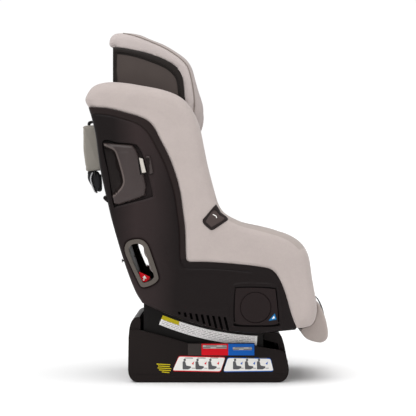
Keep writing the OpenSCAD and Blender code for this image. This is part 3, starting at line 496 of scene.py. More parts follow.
# ------------------------------------------------------------------ side-view outlines (mm)
CX, CZ, R = 130.0, 696.0, 588.0
def onarc(r, a): return (CX - r * math.sin(math.radians(a)), CZ - r * math.cos(math.radians(a)))
def arcp(r, a0, a1, n): return A([onarc(r, a0 + (a1 - a0) * i / n) for i in range(n + 1)])
S_TOP = open_curve([[-253, 585], [-238, 585], [-207, 582], [-168, 572], [-145, 565], [-127, 556], [-114, 542], [-101, 517], [-85, 486], [-72, 453], [-60, 411], [-54, 369], [-49, 327], [-48, 290], [-47, 270]], 5)
S_LOW = open_curve([[-40, 260], [3, 259.5], [66, 255], [119, 248], [136, 241], [148, 226], [161, 196], [175, 148], [186, 121]], 5)
S_CORNER = open_curve([[-47, 270], [-45.5, 263.5], [-40, 260]], 4)[1:-1]
S_FRONT = np.vstack([S_TOP, S_CORNER, S_LOW])
S_FLOOR = np.vstack([open_curve([[186, 121], [184, 117.5], [178, 115.8], [142, 112.5]], 4)[1:], arcp(R, 2, 26.6, 40)])
S_BACK = open_curve([[-139.5, 173], [-144, 180], [-154, 197], [-169, 234], [-186, 285], [-203, 344], [-213, 386], [-219, 411], [-228, 453], [-234, 495], [-238, 526], [-245, 558], [-253, 585]], 4)[:-1]
S_OUT = np.vstack([S_FRONT, S_FLOOR, S_BACK])
F_RIM = open_curve([[-253, 585], [-261, 600], [-257, 614], [-247, 628], [-232, 636], [-207, 640], [-175, 638], [-144, 633], [-102, 625], [-70, 614], [-49, 600], [-33, 579], [-22, 556], [-16, 535], [-10, 505], [-3, 470], [3, 445], [12, 411], [20, 384], [29, 368], [42, 357], [66, 345], [87, 338], [129, 329], [161, 320], [182, 310], [198, 297], [209, 280], [215, 258], [220, 222], [225, 195], [229, 175], [230, 155], [226, 137], [217, 124], [204, 120]], 5)
COVER = np.vstack([F_RIM, [[190, 121]], S_FRONT[::-1][:-1]])
POD = A([[-221, 510], [-160, 505], [-152, 495], [-144, 474], [-136, 442], [-131, 418], [-134, 399], [-160, 389], [-190, 380], [-199, 383]])
POD_REC = closed_curve([[-223, 512], [-190, 510.5], [-158, 508], [-147, 502], [-136, 480], [-126, 442], [-117, 402], [-121, 395], [-154, 386], [-190, 377.5], [-200, 379], [-211, 445]], 4)
BELT = closed_curve([[-176, 283], [-171, 301], [-155, 307], [-140, 306], [-128, 295], [-119, 272], [-106, 232], [-107, 221], [-118, 212], [-133, 207], [-142, 209], [-149, 221], [-163, 251]], 5)
BELT_IN = closed_curve([[-167, 284], [-163, 294], [-154, 298], [-144, 297], [-136, 290], [-128, 269], [-115, 233], [-116, 226], [-122, 220], [-133, 216], [-138, 217], [-143, 226], [-156, 254]], 5)
CUP = closed_curve([[57, 200], [62, 205], [100, 205.5], [136, 203], [141, 196], [146, 140], [139, 128.6], [100, 127], [63, 128.6], [56, 137], [55, 165]], 5)
CUP_REC = closed_curve([[55.5, 201.5], [60.5, 207], [100, 207.8], [137.2, 205.4], [143.2, 197], [148.6, 137], [146.5, 125.2], [100, 123.5], [55.5, 125.2], [53.2, 135], [52.6, 165]], 5)

# ------------------------------------------------------------------ height helpers
def bump1(d, w): return np.exp(-(A(d) / w) ** 2)
def superround(d, r, p=2.4): return (1 - (1 - np.clip(A(d) / r, 0, 1)) ** p) ** (1 / p)

# ------------------------------------------------------------------ side casings
BACKEDGE = np.vstack([S_FLOOR, S_BACK, S_OUT[:1]])
VENTS = []
for i in range(9):
    x, h, z = -62 + 12 * i, 6 + 3.6 * i, 155 - 1.4 * i
    VENTS.append(A([[x - 2.6, z], [x + 2.6, z], [x + 2.6 + h * 0.25, z - h], [x - 2.6 + h * 0.25, z - h]]))
VBORDER = open_curve([[-78, 150], [-74, 158], [-30, 166], [34, 165.5], [40, 160], [46, 128]], 4)
RAISE = closed_curve([[48, 205], [60, 216], [100, 217], [139, 214], [150, 203], [158, 140], [150, 119], [100, 115.5], [58, 118], [46, 134], [44, 165]], 4)
SPINE = open_curve([[-216, 560], [-176, 540], [-150, 500], [-122, 440], [-98, 380], [-84, 330], [-80, 280]], 6)
GRV = open_curve([[-251, 569.5], [-232, 570.5], [-207, 567.5], [-173, 558], [-151, 550], [-136, 540], [-124, 526], [-112, 504], [-97, 475], [-85, 447], [-73, 408], [-66.5, 369], [-61.5, 327], [-60.5, 290], [-60, 268], [-54, 252], [-42, 246], [3, 245.5], [66, 241], [113, 234], [127, 227], [137, 215], [148, 192], [161, 147], [171, 118]], 5)
def offs(c, d):
    t = np.gradient(c, axis=0); n = np.stack([t[:, 1], -t[:, 0]], 1); return c + n / np.linalg.norm(n, axis=1)[:, None] * d
BANDR = np.vstack([S_FRONT, GRV[::-1]])
def shell_front(P):
    db = dist(P, BACKEDGE); df = dist(P, S_FRONT)
    y = 220.5 + 3.2 * superround(db, 60, 2) - 9.0 * (1 - superround(db, 13, 2.0))
    y += 1.2 * bump1(dist(P, SPINE), 26)
    # raised rim band along the cover edge with a groove inside it
    up = (P[:, 1] > 262) | (P[:, 0] > 140)
    w = np.where(P[:, 1] > 268, 1.0, np.clip((P[:, 1] - 255) / 13, 0, 1))
    dg = dist(P, GRV); wl = np.clip((112 - P[:, 0]) / 30, 0, 1)
    y += w * 1.6 * sstep(dg / 4.0) * inside(P, BANDR) - 2.0 * wl * bump1(dg, 2.0)
    y -= 2.2 * (1 - superround(df, 3.0))
    # cup holder field and vent border
    dr = sdist(P, RAISE); y += 1.8 * sstep(-dr / 3.0)
    y += 1.3 * bump1(dist(P, VBORDER), 1.5)
    for f in (BELT,):
        dd = sdist(P, f); y -= 2.6 * bump1(np.maximum(dd, 0), 2.2)
    # shallow fold lines of the lower casing
    y -= 1.4 * bump1(dist(P, LOWLINE), 1.8)
    dp = sdist(P, POD_REC); y -= 1.5 * bump1(np.maximum(dp, 0), 2.0); y = np.where(dp < -0.55, 208.4, y)
    dc = sdist(P, CUP_REC); y -= 0.8 * bump1(np.maximum(dc, 0), 1.2); y = np.where(dc < -0.35, 209.4, y)
    for v in VENTS:
        dv = sdist(P, v); y = np.where(dv < -0.25, 210.0, y)
    return y
LOWLINE = open_curve([[-196, 300], [-180, 322], [-150, 330], [-112, 322], [-90, 300], [-84, 262], [-60, 240], [-10, 238], [40, 232]], 5)
feats = [POD_REC, grown(POD_REC, -0.9), CUP_REC, grown(CUP_REC, -0.7)]
for v in VENTS: feats += [v, grown(v, -0.5)]
def shell_piece():
    return slab("side_casing_right", S_OUT, shell_front, lambda P: np.full(len(P), 205.0), step=4.5, grid=6.5,
        rings=(0.8, 1.9, 3.4, 5.6), feats=feats, holes=[BELT],
        inner_rings=[(POD_REC, (1.6, 3.6)), (CUP_REC, (1.2, 2.8)), (RAISE, (-3.2, -1.6, 0.2)), (VENTS[8], (1.5,)), (VENTS[4], (1.5,))],
        lines=[VBORDER, LOWLINE, GRV[2:-3], offs(GRV, 1.8)[3:-4], offs(GRV, -1.8)[3:-4], offs(GRV, 4.2)[4:-6], offs(GRV, -4.2)[4:-6]], smooth=42)
sh = mat(shell_piece(), "shell"); sh.data.materials.append(M["rim"])
def by_face(ob, fn, ylim=0.3):
    c = A([(p.center.x * 1000, p.center.z * 1000) for p in ob.data.polygons]); ny = A([p.normal.y for p in ob.data.polygons])
    ob.data.polygons.foreach_set("material_index", (np.asarray(fn(c)).astype(int) * (np.abs(ny) > ylim)).astype(np.int32))
# rim band faces above z = 266 mm get the lighter painted highlight colour
by_face(sh, lambda c: inside(c, BANDR) & (c[:, 1] > 266))
sh.data.materials.append(M["void"])
sc_ = A([(q.center.x * 1000, q.center.z * 1000) for q in sh.data.polygons]); si_ = np.zeros(len(sc_), np.int32); sh.data.polygons.foreach_get("material_index", si_)
# faces inside the vent slots get the painted shade colour
for v in VENTS: si_[inside(sc_, grown(v, 0.1))] = 2
sh.data.polygons.foreach_set("material_index", si_)
ride(sh, "seat_shell", ["side_shell_right"])
shl = mirrored(sh, "side_casing_left"); ride(shl, "seat_shell", ["side_shell_left"])

# ------------------------------------------------------------------ padded side rolls
FR = F_RIM
def roll_h(P): return superround(dist(P, FR), 25, 2.3)
def cover_front(P):
    ds = dist(P, S_FRONT)
    return 188 + 37 * roll_h(P) + 1.6 * bump1(dist(P, ROLLMID), 16) - 3.2 * bump1(ds, 2.4) - 1.1 * bump1(dist(P, ROLLSEAM), 1.3) + 0.25 * vnoise(P, 26, 3) * sstep(ds / 14) 
def cover_back(P):
    ds = dist(P, S_FRONT)
    return 188 - 36 * roll_h(P) - 3.5 * sstep((dist(P, FR) - 6) / 22) * sstep(ds / 12) + 0.5 * vnoise(P, 30, 5)
ROLLMID = open_curve([[-236, 608], [-180, 606], [-110, 590], [-62, 560], [-42, 500], [-28, 440], [-14, 380], [0, 330], [60, 295], [130, 280], [178, 255], [200, 200], [208, 150]], 5)
ROLLSEAM = open_curve([[14, 392], [22, 371], [36, 352], [64, 336.5], [98, 327], [129, 319], [156, 310], [176, 299], [191, 285]], 6)
ROLLEDGE = np.vstack([ROLLSEAM, [[230, 300], [190, 330], [60, 370], [14, 410]]])
cv = slab("side_roll_right", COVER, cover_front, cover_back, step=5, grid=7, rings=(0.4, 1.2, 2.6, 4.8, 7.8, 11.5, 16, 21), lines=[ROLLSEAM], smooth=70)
# roll faces beyond the seam get the painted shade copy of the knit
mat(cv, "fabric"); cv.data.materials.append(M["fabric_dark"]); by_face(cv, lambda c: inside(c, ROLLEDGE), -1)
ride(cv, "seat_shell", ["side_cover_right"])
cvl = mirrored(cv, "side_roll_left"); ride(cvl, "seat_shell", ["side_cover_left"])

BOLS = np.vstack([[[-94, 243], [-60, 246], [-46, 252]], S_TOP[::-1][:-6], [[-213, 581], [-208, 600], [-204, 574], [-193, 500], [-183, 450], [-170, 425], [-148, 368], [-120, 306], [-107, 275]]])
BOLS = BOLS[(np.roll(BOLS, 1, 0) != BOLS).any(1)]
def bol_in(P):
    d = dist(P, BOLS, True)
    y = 161 - 9 * superround(d, 16, 2.0) - 5 * sstep((d - 8) / 26) + 0.6 * vnoise(P, 34, 9)
    k = sstep((P[:, 1] - 415) / 32)          # flatter where the headrest slides past
    return y * (1 - k) + np.maximum(y, 153.0) * k
bl = slab("inner_bolster_right", BOLS, lambda P: np.full(len(P), 204.4), bol_in, step=6, grid=7.5, rings=(0.8, 2.2, 4.5, 8, 13), smooth=60)
mat(bl, "fabric_insert"); ride(bl, "seat_shell", ["side_bolsters"])
bll = mat(mirrored(bl, "inner_bolster_left"), "fabric_insert"); ride(bll, "seat_shell")

# ------------------------------------------------------------------ top band, cushion, back pad, apron, calf support
BANDP = np.vstack([open_curve([[-253, 585], [-261, 600], [-257, 614], [-247, 628], [-236, 634]], 4), [[-224, 633], [-215, 626], [-212, 612], [-211, 600], [-213, 590], [-222, 585]]])
def band_crown(q, y, nn): return np.full(len(q), 1.4 * math.cos(y / 152 * math.pi / 2) + 0.4 * math.sin(y / 17.0))
band = mat(loft_pad("top_band", BANDP, -176, 176, ny=44, r=5, crown=band_crown, step=4), "fabric")
ride(band, "seat_shell", ["top_cover_band"])

CUSHP = np.vstack([[[-94, 246]], open_curve([[-84, 266], [-70, 275], [0, 281], [90, 290], [150, 296], [183, 296]], 5), open_curve([[183, 296], [193, 290], [195, 270], [190, 264]], 4)[1:]])
def cush_crown(q, y, nn):
    top = np.clip(nn[:, 1], 0, 1); e = 1 - (abs(y) / 150) ** 2
    dish = -5.0 * np.exp(-(((q[:, 0] - 30) / 70) ** 2)) * math.exp(-(y / 80) ** 2)
    return top * (4.0 * e + dish) + 0.5 * top * np.sin(q[:, 0] / 19 + y / 23)
cu = mat(loft_pad("seat_cushion_pad", CUSHP, -150, 150, ny=34, r=14, crown=cush_crown, step=7), "fabric_insert")
bp_prof = np.vstack([open_curve([[-95, 264], [-101, 282], [-116, 313], [-144, 373], [-166, 424]], 4), open_curve([[-166, 424], [-163, 436], [-150, 441], [-139, 430], [-128, 402], [-115, 368], [-90, 312], [-76, 286]], 4)[1:], open_curve([[-76, 286], [-76, 272], [-84, 264]], 3)[1:]])
def back_crown(q, y, nn):
    fr = np.clip(nn[:, 0], 0, 1); e = 1 - (abs(y) / 150) ** 2
    return fr * (5.0 * e) + 0.5 * fr * np.sin(q[:, 1] / 17 + y / 29)
bp = mat(loft_pad("back_cushion_pad", bp_prof, -149, 149, ny=34, r=12, crown=back_crown, step=7), "fabric_insert")
def groove(ob, fn):
    me = ob.data; n = len(me.vertices); co = np.zeros(n * 3); no = np.zeros(n * 3)
    me.vertices.foreach_get("co", co); me.vertices.foreach_get("normal", no)
    co = co.reshape(-1, 3); no = no.reshape(-1, 3); d = fn(co * 1000, no)
    me.vertices.foreach_set("co", (co - no * (d / 1000.0)[:, None]).ravel()); me.update()
for o, fn, rp, cap in ((cu, lambda P, n: 2.6 * bump1(np.abs(P[:, 1]) - 104, 2.6) * (n[:, 2] > 0.25) + 2.2 * bump1(P[:, 0] - 128 - 0.0006 * P[:, 1] ** 2, 2.6) * (n[:, 2] > 0.3) * (np.abs(P[:, 1]) < 104), "seat_cushion", 5.0),
                (bp, lambda P, n: 2.6 * bump1(np.abs(P[:, 1]) - 96, 2.6) * (n[:, 0] > 0.2) + 2.2 * bump1(P[:, 2] - 352, 2.6) * (n[:, 0] > 0.2) * (np.abs(P[:, 1]) < 96), "back_pad", 5.0)):
    inflate(o, voxel=5.0, pressure=4.0, cap=cap)
    subsurf(o, 1)
    bpy.context.view_layer.objects.active = o
    groove(o, fn)
    ride(o, "seat_shell", [rp])

APRP = np.vstack([[[197, 128]], open_curve([[205, 122], [217, 124], [224, 133], [228, 150], [229, 170], [225, 196], [220, 225], [215, 256], [208, 278], [200, 290]], 5), [[196, 286]]])
def apr_crown(q, y, nn):
    w = np.clip(nn[:, 0], 0, 1)
    flat = math.exp(-((abs(y)) / 30) ** 4)
    return w * (2.0 - 3.4 * flat * bump1(q[:, 1] - 187, 34)) + w * 0.5 * np.sin(y / 15.0 + q[:, 1] / 31.0)
ap = mat(loft_pad("front_skirt", APRP, -158, 158, ny=52, r=8, crown=apr_crown, step=5), "fabric")
ride(ap, "seat_shell", ["front_apron"])

CALFP = np.vstack([[[198, 111], [201, 103]], open_curve([[206, 96], [213, 90], [228, 84], [243, 82], [253, 87], [257.8, 96], [257.6, 110], [254, 129], [247.4, 149], [240.6, 163]], 4), open_curve([[240.6, 163], [236.6, 166.5], [233.6, 164], [232.8, 160], [231.5, 150], [227.6, 131], [219, 120], [206, 115.5]], 3)[1:]])
def calf_crown(q, y, nn): return -4.0 * (1 - superround(138 - abs(y), 14, 2)) * sstep((q[:, 0] - 206) / 34) + np.clip(nn[:, 0], 0, 1) * (3.0 * (1 - (abs(y) / 138) ** 2.5) - 2.0 * math.exp(-((abs(y) - 92) / 2.5) ** 2))
cf = mat(loft_pad("calf_pad", CALFP, -138, 138, ny=56, r=3.2, crown=calf_crown, step=4), "fabric_calf")
ride(cf, "calf_support", ["calf_support"])
for s_, nm in ((-1, "right"), (1, "left")):
    arm = sweep("calf_arm_" + nm, [(222, s_ * 100, 122), (214, s_ * 100, 143), (201.8, s_ * 100, 173.8)], rrect(6, 20, 1.5, 3), up=(0, 1, 0)); mat(arm, "inner"); ride(arm, "calf_support")

LN = open_curve([[-172.5, 420], [-178.5, 436], [-182, 452], [-189.6, 500], [-203.2, 596]], 10)
for k, (ya, yb) in enumerate(((-150, -95), (-73, 73), (95, 150))):
    pth = A([(x + 0.6, (ya + yb) / 2, z) for x, z in LN]); uc = sweep("upper_back_cloth_%d" % k, pth, rrect(1.6, yb - ya, 0.7, 2), up=(0, 1, 0)); mat(uc, "fabric_insert"); ride(uc, "seat_shell")

# cover cloth seen through the belt opening, beside the belt's way
BPC = np.vstack([open_curve([[-137.2, 300], [-137.2, 284], [-135, 274], [-129, 264], [-126.8, 255], [-124, 243], [-118, 236]], 4), open_curve([[-118, 236], [-110, 236], [-108, 246], [-116, 272], [-124, 294], [-130, 301], [-137.2, 300]], 4)[1:-1]])
bc = mat(loft_pad("belt_way_cloth", BPC, -198, 198, ny=24, r=2.5, step=3), "fabric"); ride(bc, "seat_shell")

# ------------------------------------------------------------------ headrest
HS = np.vstack([open_curve([[-205, 718], [-194, 718], [-169, 714], [-126, 704], [-93, 691], [-72, 678], [-59, 661], [-54, 640], [-52, 615], [-49, 588], [-56, 548], [-80, 515], [-110, 500]], 5), [[-150, 498.5], [-184.4, 497], [-205, 646]]])
HR = open_curve([[-206, 719], [-214, 725], [-213, 738], [-206, 747], [-194, 751], [-169, 751], [-147, 747], [-126, 738], [-94, 725], [-66, 708], [-48, 694], [-36, 676], [-29, 652], [-22, 627], [-16, 609], [-12, 594], [-11, 578], [-14, 560], [-22, 540], [-40, 515], [-70, 498], [-104, 493]], 4)
HP = closed_curve([[-201, 704], [-199, 707.5], [-190, 707.5], [-158, 702], [-124, 691], [-93, 678], [-73, 662], [-64, 643], [-61, 616], [-59, 590], [-66, 560], [-88, 530], [-130, 514], [-178, 510], [-184, 514], [-201, 646], [-201.5, 680]], 4)
HSEAM = open_curve([[-184, 750], [-150, 741], [-93.5, 717], [-54, 689], [-40, 664], [-31, 616], [-31, 588], [-36, 556], [-56, 528]], 5)
WING = np.vstack([HR, [[-112, 498], [-150, 498], [-166, 600], [-170, 640], [-172, 700], [-184, 716.5]]])
HSG = grown(HS, 0.0)
def wing_front(P):
    d = dist(P, HR); ins = sdist(P, HS)
    y = 121 + 27.2 * superround(d, 19, 2.3) - 1.5 * bump1(dist(P, HSEAM), 1.7) - 2.0 * bump1(np.maximum(ins, 0), 2.0) + 0.3 * vnoise(P, 22, 11)
    return np.where(ins < -0.5, 139.6, y)
def wing_back(P):
    d = dist(P, HR); dl = dist(P, WING, True)
    return 121 - 17 * superround(d, 22, 2.2) - 6 * sstep((dl - 6) / 26) + 7 * (1 - superround(dl, 9, 2)) * (d > 12) + 0.5 * vnoise(P, 30, 13)
wg = slab("headrest_wing_right", WING, wing_front, wing_back, step=5, grid=6.5, rings=(0.4, 1.1, 2.4, 4.4, 7.0, 10, 14, 18), lines=[HS[:61], grown(HS, -0.9)[2:59], HSEAM], smooth=65)
HEDGE = np.vstack([HSEAM, [[-40, 480], [20, 560], [10, 660], [-90, 760], [-184, 780]]])
# wing faces beyond the seam get the painted shade copy of the knit
mat(wg, "fabric_head"); wg.data.materials.append(M["fabric_head_edge"]); by_face(wg, lambda c: inside(c, HEDGE), -1)
ride(wg, "headrest", ["headrest_wings"])
for s_, nm in ((-1, "right"), (1, "left")):
    pth = A([(a, s_ * (y_ + 0.1), b) for (a, b), y_ in zip(HSEAM, wing_front(HSEAM) + 1.5)])
    pp = sweep("headrest_piping_" + nm, pth, circle(1.15, 8), up=(0, 1, 0)); mat(pp, "piping"); ride(pp, "headrest")
wgl = mirrored(wg, "headrest_wing_left"); ride(wgl, "headrest")
def hs_front(P):
    do = dist(P, HS, True); dp = sdist(P, HP)
    y = 147.2 + 2.3 * superround(do, 4, 2) + 0.8 * bump1(dp - 4.0, 3.2)
    y = np.where(dp < 0.6, 142.4, y)
    y = np.where(dp < -3.6, 146.0 + 1.6 * sstep((-dp - 3.6) / 36) - 0.9 * bump1(-dp - 3.6, 1.4), y)
    return y
hs = slab("headrest_casing_right", grown(HS, 0.35), hs_front, lambda P: np.full(len(P), 139.9), step=4.5, grid=6.5, rings=(0.8, 1.8, 3.2, 5),
    feats=[grown(HP, 0.9), grown(HP, 0.2), grown(HP, -3.3), grown(HP, -4.0)], inner_rings=[(HP, (2.2, -5.5, -8, -12))], smooth=38)
hs.data.materials.append(M["head_shell"]); hs.data.materials.append(M["head_panel"])
HPI = grown(HP, -3.6)
cen = A([(p.center.x * 1000, p.center.z * 1000) for p in hs.data.polygons]); ny_ = A([p.normal.y for p in hs.data.polygons])
ins_ = inside(cen, HPI) & (np.abs(ny_) > 0.3)
hs.data.polygons.foreach_set("material_index", ins_.astype(np.int32))
ride(hs, "headrest", ["headrest_side_panels"])
hsl = mirrored(hs, "headrest_casing_left"); ride(hsl, "headrest")
HPADP = np.vstack([[[-176, 500], [-197, 646], [-198, 712]], open_curve([[-198, 712], [-201, 735], [-194, 745], [-180, 747], [-168, 738], [-163, 715], [-159, 650], [-149, 560], [-145, 515], [-150, 500]], 4)[1:]])
def hp_crown(q, y, nn): return np.clip(nn[:, 0], 0, 1) * (7.0 * (1 - (abs(y) / 104) ** 2) - 6.0 * bump1(q[:, 1] - 640, 60) * math.exp(-(y / 60) ** 2)) + 0.5 * np.sin(q[:, 1] / 17 + y / 21)
hpd = mat(loft_pad("headrest_cushion", HPADP, -104, 104, ny=30, r=8, crown=hp_crown, step=6), "fabric_head")
ride(hpd, "headrest", ["headrest_pad"])
groove(hpd, lambda P, n: 2.2 * bump1(P[:, 2] - 560, 2.2) * (n[:, 0] > 0.3))

# ------------------------------------------------------------------ side pods and their tab seats
RIDGE = open_curve([[-224, 508], [-209, 501.5], [-196.5, 494], [-190.5, 481], [-184.5, 461], [-178.5, 438], [-178, 424], [-186, 410], [-204, 393]], 6)
HOLE = np.vstack([RIDGE, [[-260, 380], [-260, 520]]])
TABS = A([[-149.4, 481.4], [-134, 484.8], [-116, 441], [-143.6, 443.0]])
PODTOP = open_curve([[-196, 489], [-172, 494], [-160, 491], [-152, 470], [-146, 440], [-143, 416], [-152, 404], [-184, 402]], 5)
def pod_front(P):
    d = dist(P, POD, True); dr = dist(P, RIDGE); hol = inside(P, HOLE)
    y = 227.2 + 2.6 * bump1(dist(P, PODMID), 13) - 7.0 * (1 - superround(d, 8, 2)) - 0.7 * bump1(dist(P, PODTOP), 1.6)
    y += 2.0 * bump1(dr, 2.2)
    y = np.where(hol, np.minimum(y, 228.5 - 12.5 * sstep((dr - 1.2) / 6.0)), y)
    dt = sdist(P, TABS); return np.where(dt < -0.4, 213.6, y)
PODMID = open_curve([[-172, 482], [-160, 440], [-156, 410]], 4)
pd = slab("side_pod_right_skin", POD, pod_front, lambda P: np.full(len(P), 209.2), step=3.5, grid=4.5, rings=(0.6, 1.5, 3, 5, 7.5), feats=[TABS, grown(TABS, -0.8)],
    lines=[RIDGE[4:-4], offs(RIDGE, 1.7)[5:-5], offs(RIDGE, -1.7)[5:-5], offs(RIDGE, 4)[6:-6], offs(RIDGE, -4)[6:-6], PODTOP], smooth=45)
mat(pd, "pod"); pd.data.materials.append(M["pod_dark"]); pd.data.materials.append(M["pod_ridge"])
# faces within 1.7 mm of the ridge get the painted highlight, faces in the hollow the painted shade
by_face(pd, lambda c: np.where(dist(c, RIDGE) < 1.7, 2, inside(c, HOLE).astype(int)))
ride(pd, "sip_pod_right", ["sip_pod_right"])
pdl = mirrored(pd, "side_pod_left_skin"); ride(pdl, "sip_pod_left", ["sip_pod_left"])
TH = closed_curve([[-132, 480], [-126, 482.5], [-121.5, 478], [-116, 450], [-118, 445], [-125, 444], [-128, 460]], 4)
th = slab("tab_stop_right", TH, lambda P: 226 + 4.6 * superround(dist(P, TH, True), 3, 2), lambda P: np.full(len(P), 208.0), step=2.5, grid=3.5, rings=(0.5, 1.3, 2.4, 4), smooth=40)
mat(th, "pod_dark"); th.data.materials.append(M["pod"]); by_face(th, lambda c: (c[:, 0] > -123.5) | (c[:, 1] > 478.5)); ride(th, "seat_shell")
thl = mirrored(th, "tab_stop_left"); ride(thl, "seat_shell")
for s_, nm in ((-1, "right"), (1, "left")): cad("sip_tab_" + nm, "tab", 1.2, 3)

# ------------------------------------------------------------------ belt guides at the bend
GD = A([[16, 381], [10, 375], [-12, 349], [-12.6, 344], [-9, 338], [3, 327.4], [7, 326.4], [12, 328], [40, 347], [41.6, 350.4], [38, 355], [26, 364], [20, 375]])
GI = closed_curve([[11, 369], [-6, 347], [-3, 340], [5, 333], [10, 334], [34, 350], [24, 359]], 4)
def gd_front(P):
    d = dist(P, GD, True); di = sdist(P, GI)
    yb = np.maximum(cover_front(P), 213.0)
    return np.where(di < -0.4, yb + 1.5 + 0.6 * sstep(-di / 8), yb + 0.2 + 2.6 * superround(d, 3.4, 2))
gd = slab("belt_guide_right", GD, gd_front, lambda P: np.full(len(P), 195.4), step=2.5, grid=3.5, rings=(0.5, 1.3, 2.6, 4), feats=[GI, grown(GI, -0.8)], smooth=40)
mat(gd, "guide_edge"); gd.data.materials.append(M["guide"]); by_face(gd, lambda c: inside(c, grown(GI, -0.6)))
ride(gd, "seat_shell", ["belt_guides"])
TICK = A([[9.4, 360.4], [16.4, 357], [18, 352.4], [16.4, 351.8], [15.2, 355.6], [8.8, 358.8]])
for s_, nm in ((-1, "right"), (1, "left")):
    tk = slab("guide_tick_" + nm, TICK, lambda P: gd_front(P) + 0.45, lambda P: gd_front(P) - 0.8, side=s_, step=2, grid=3, rings=(), smooth=30); mat(tk, "white"); ride(tk, "seat_shell")
gdl = mirrored(gd, "belt_guide_left"); ride(gdl, "seat_shell")

# ------------------------------------------------------------------ tether behind the shell
SLV = A([[-280, 553], [-276, 556.5], [-249, 558], [-246, 554], [-241, 505], [-236.5, 462], [-239, 458], [-270, 454], [-273.5, 457], [-277.5, 505]])
def slv_crown(q, y, nn): return np.full(len(q), 0.7 * math.sin(y / 7.0) ) + 0.8 * np.sin(q[:, 1] / 13.0 + 0.7) - 1.2 * (bump1(q[:, 1] - 548, 2.0) + bump1(q[:, 1] - 464, 2.0))
sl = mat(loft_pad("tether_sheath", SLV, -30, 30, ny=26, r=6, crown=slv_crown, step=3.5), "sleeve")
ride(sl, "seat_shell", ["tether_sleeve"])
def strap(name, path, w, t=2.2, up=(0, 1, 0), ups=None, m="web", wave=0.0):
    """webbing with rounded selvedges: path is the centre line in mm; 'up' points across the width"""
    pr = rrect(t, w, t * 0.45, 2)
    ob = sweep(name, path, pr, up=up, ups=ups); return mat(ob, m)
tp = open_curve([[-240, 0, 564.6], [-251, 0, 565.5], [-260, 0, 566], [-266.5, 0, 564], [-268, 0, 559], [-266, 0, 553], [-264, 0, 540], [-258, 0, 500], [-254, 0, 456], [-253, 0, 446]], 8)
ts = strap("tether_webbing", tp, 47, 3.4); ride(ts, "seat_shell", ["tether_strap"])
cad("tether_hook", "hook", 2.2, 3)
ADJ = closed_curve([[-269, 455], [-250, 456], [-243.5, 447], [-240.6, 432], [-242, 416], [-249, 410.5], [-256, 415], [-263, 428], [-268.5, 442]], 3)
aj = mat(loft_pad("tether_adjuster", ADJ, -16, 16, ny=10, r=4, step=3), "hook"); ride(aj, "seat_shell")
aj2 = sweep("tether_adjuster_bar", open_curve([[-258, -21, 452], [-262, -21, 440], [-259, -20, 424], [-254, -17, 412], [-251, 0, 408], [-254, 17, 412], [-259, 20, 424], [-262, 21, 440], [-258, 21, 452]], 6), circle(2.4, 10), up=(1, 0, 0)); mat(aj2, "steel"); ride(aj2, "seat_shell")
nub = mat(loft_pad("rear_nub", closed_curve([[-222, 393], [-219, 399], [-213, 398], [-208, 388], [-212, 384]], 3), -214, -206, ny=3, r=1.5, step=2), "shell"); ride(nub, "seat_shell")
nub2 = mat(mirrored(nub, "rear_nub_left"), "shell"); ride(nub2, "seat_shell")

# ------------------------------------------------------------------ harness
def xz(p): return A([[a, 0, b] for a, b in A(p)])
UP = np.vstack([open_curve([[-187, 508], [-160, 507.6], [-151, 504.5], [-146, 497.2]], 5), refine([[-146, 497.2], [-110.8, 400]], 9, False)[1:]])
LO2 = open_curve([[-111.0, 400.6], [-103, 377], [-84, 345], [-50, 325.5], [-10, 317.8], [19.4, 314.6]], 8)
LAPP = open_curve([[-82, 291], [-60, 302], [-30, 305], [0, 307], [12, 307.6], [18.4, 308.4], [21.4, 311]], 8)
for s_, nm in ((-1, "right"), (1, "left")):
    p = A([[x, s_ * 42, z] for x, z in UP]); u = strap("shoulder_web_upper_" + nm, p, 38, 2.4)
    if s_ < 0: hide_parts("shoulder_straps_upper")
    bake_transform(u)
    n = len(LO2); p = A([[x, s_ * (42 - 14 * sstep((x + 104) / 120.0)), z] for x, z in LO2]); l = strap("shoulder_web_lower_" + nm, p, 37, 2.4)
    if s_ < 0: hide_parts("shoulder_straps_lower")
    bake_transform(l)
    p = A([[x, s_ * (28 + 96 * sstep((14 - x) / 96.0)), z] for x, z in LAPP]); k = strap("lap_web_" + nm, p, 37, 2.4)
    if s_ < 0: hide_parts("lap_straps")
    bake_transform(k)
cp = open_curve([[112, 0, 236], [112, 0, 270], [111.8, 0, 288], [110.5, 0, 298], [107, 0, 305], [104, 0, 309], [99.5, 0, 310.6], [95.6, 0, 308]], 6)
cs = strap("crotch_web", cp, 38, 2.4); ride(cs, "seat_shell")
cad("crotch_strap", "web", 0)
ad = xz(open_curve([[204, 177.5], [233, 177.2], [241, 173.5], [248, 164], [253.6, 151], [257.4, 138], [258.2, 128]], 6)); aw = strap("adjuster_web", ad, 25, 2.0)
ride(aw, "seat_shell", ["adjuster_strap"])

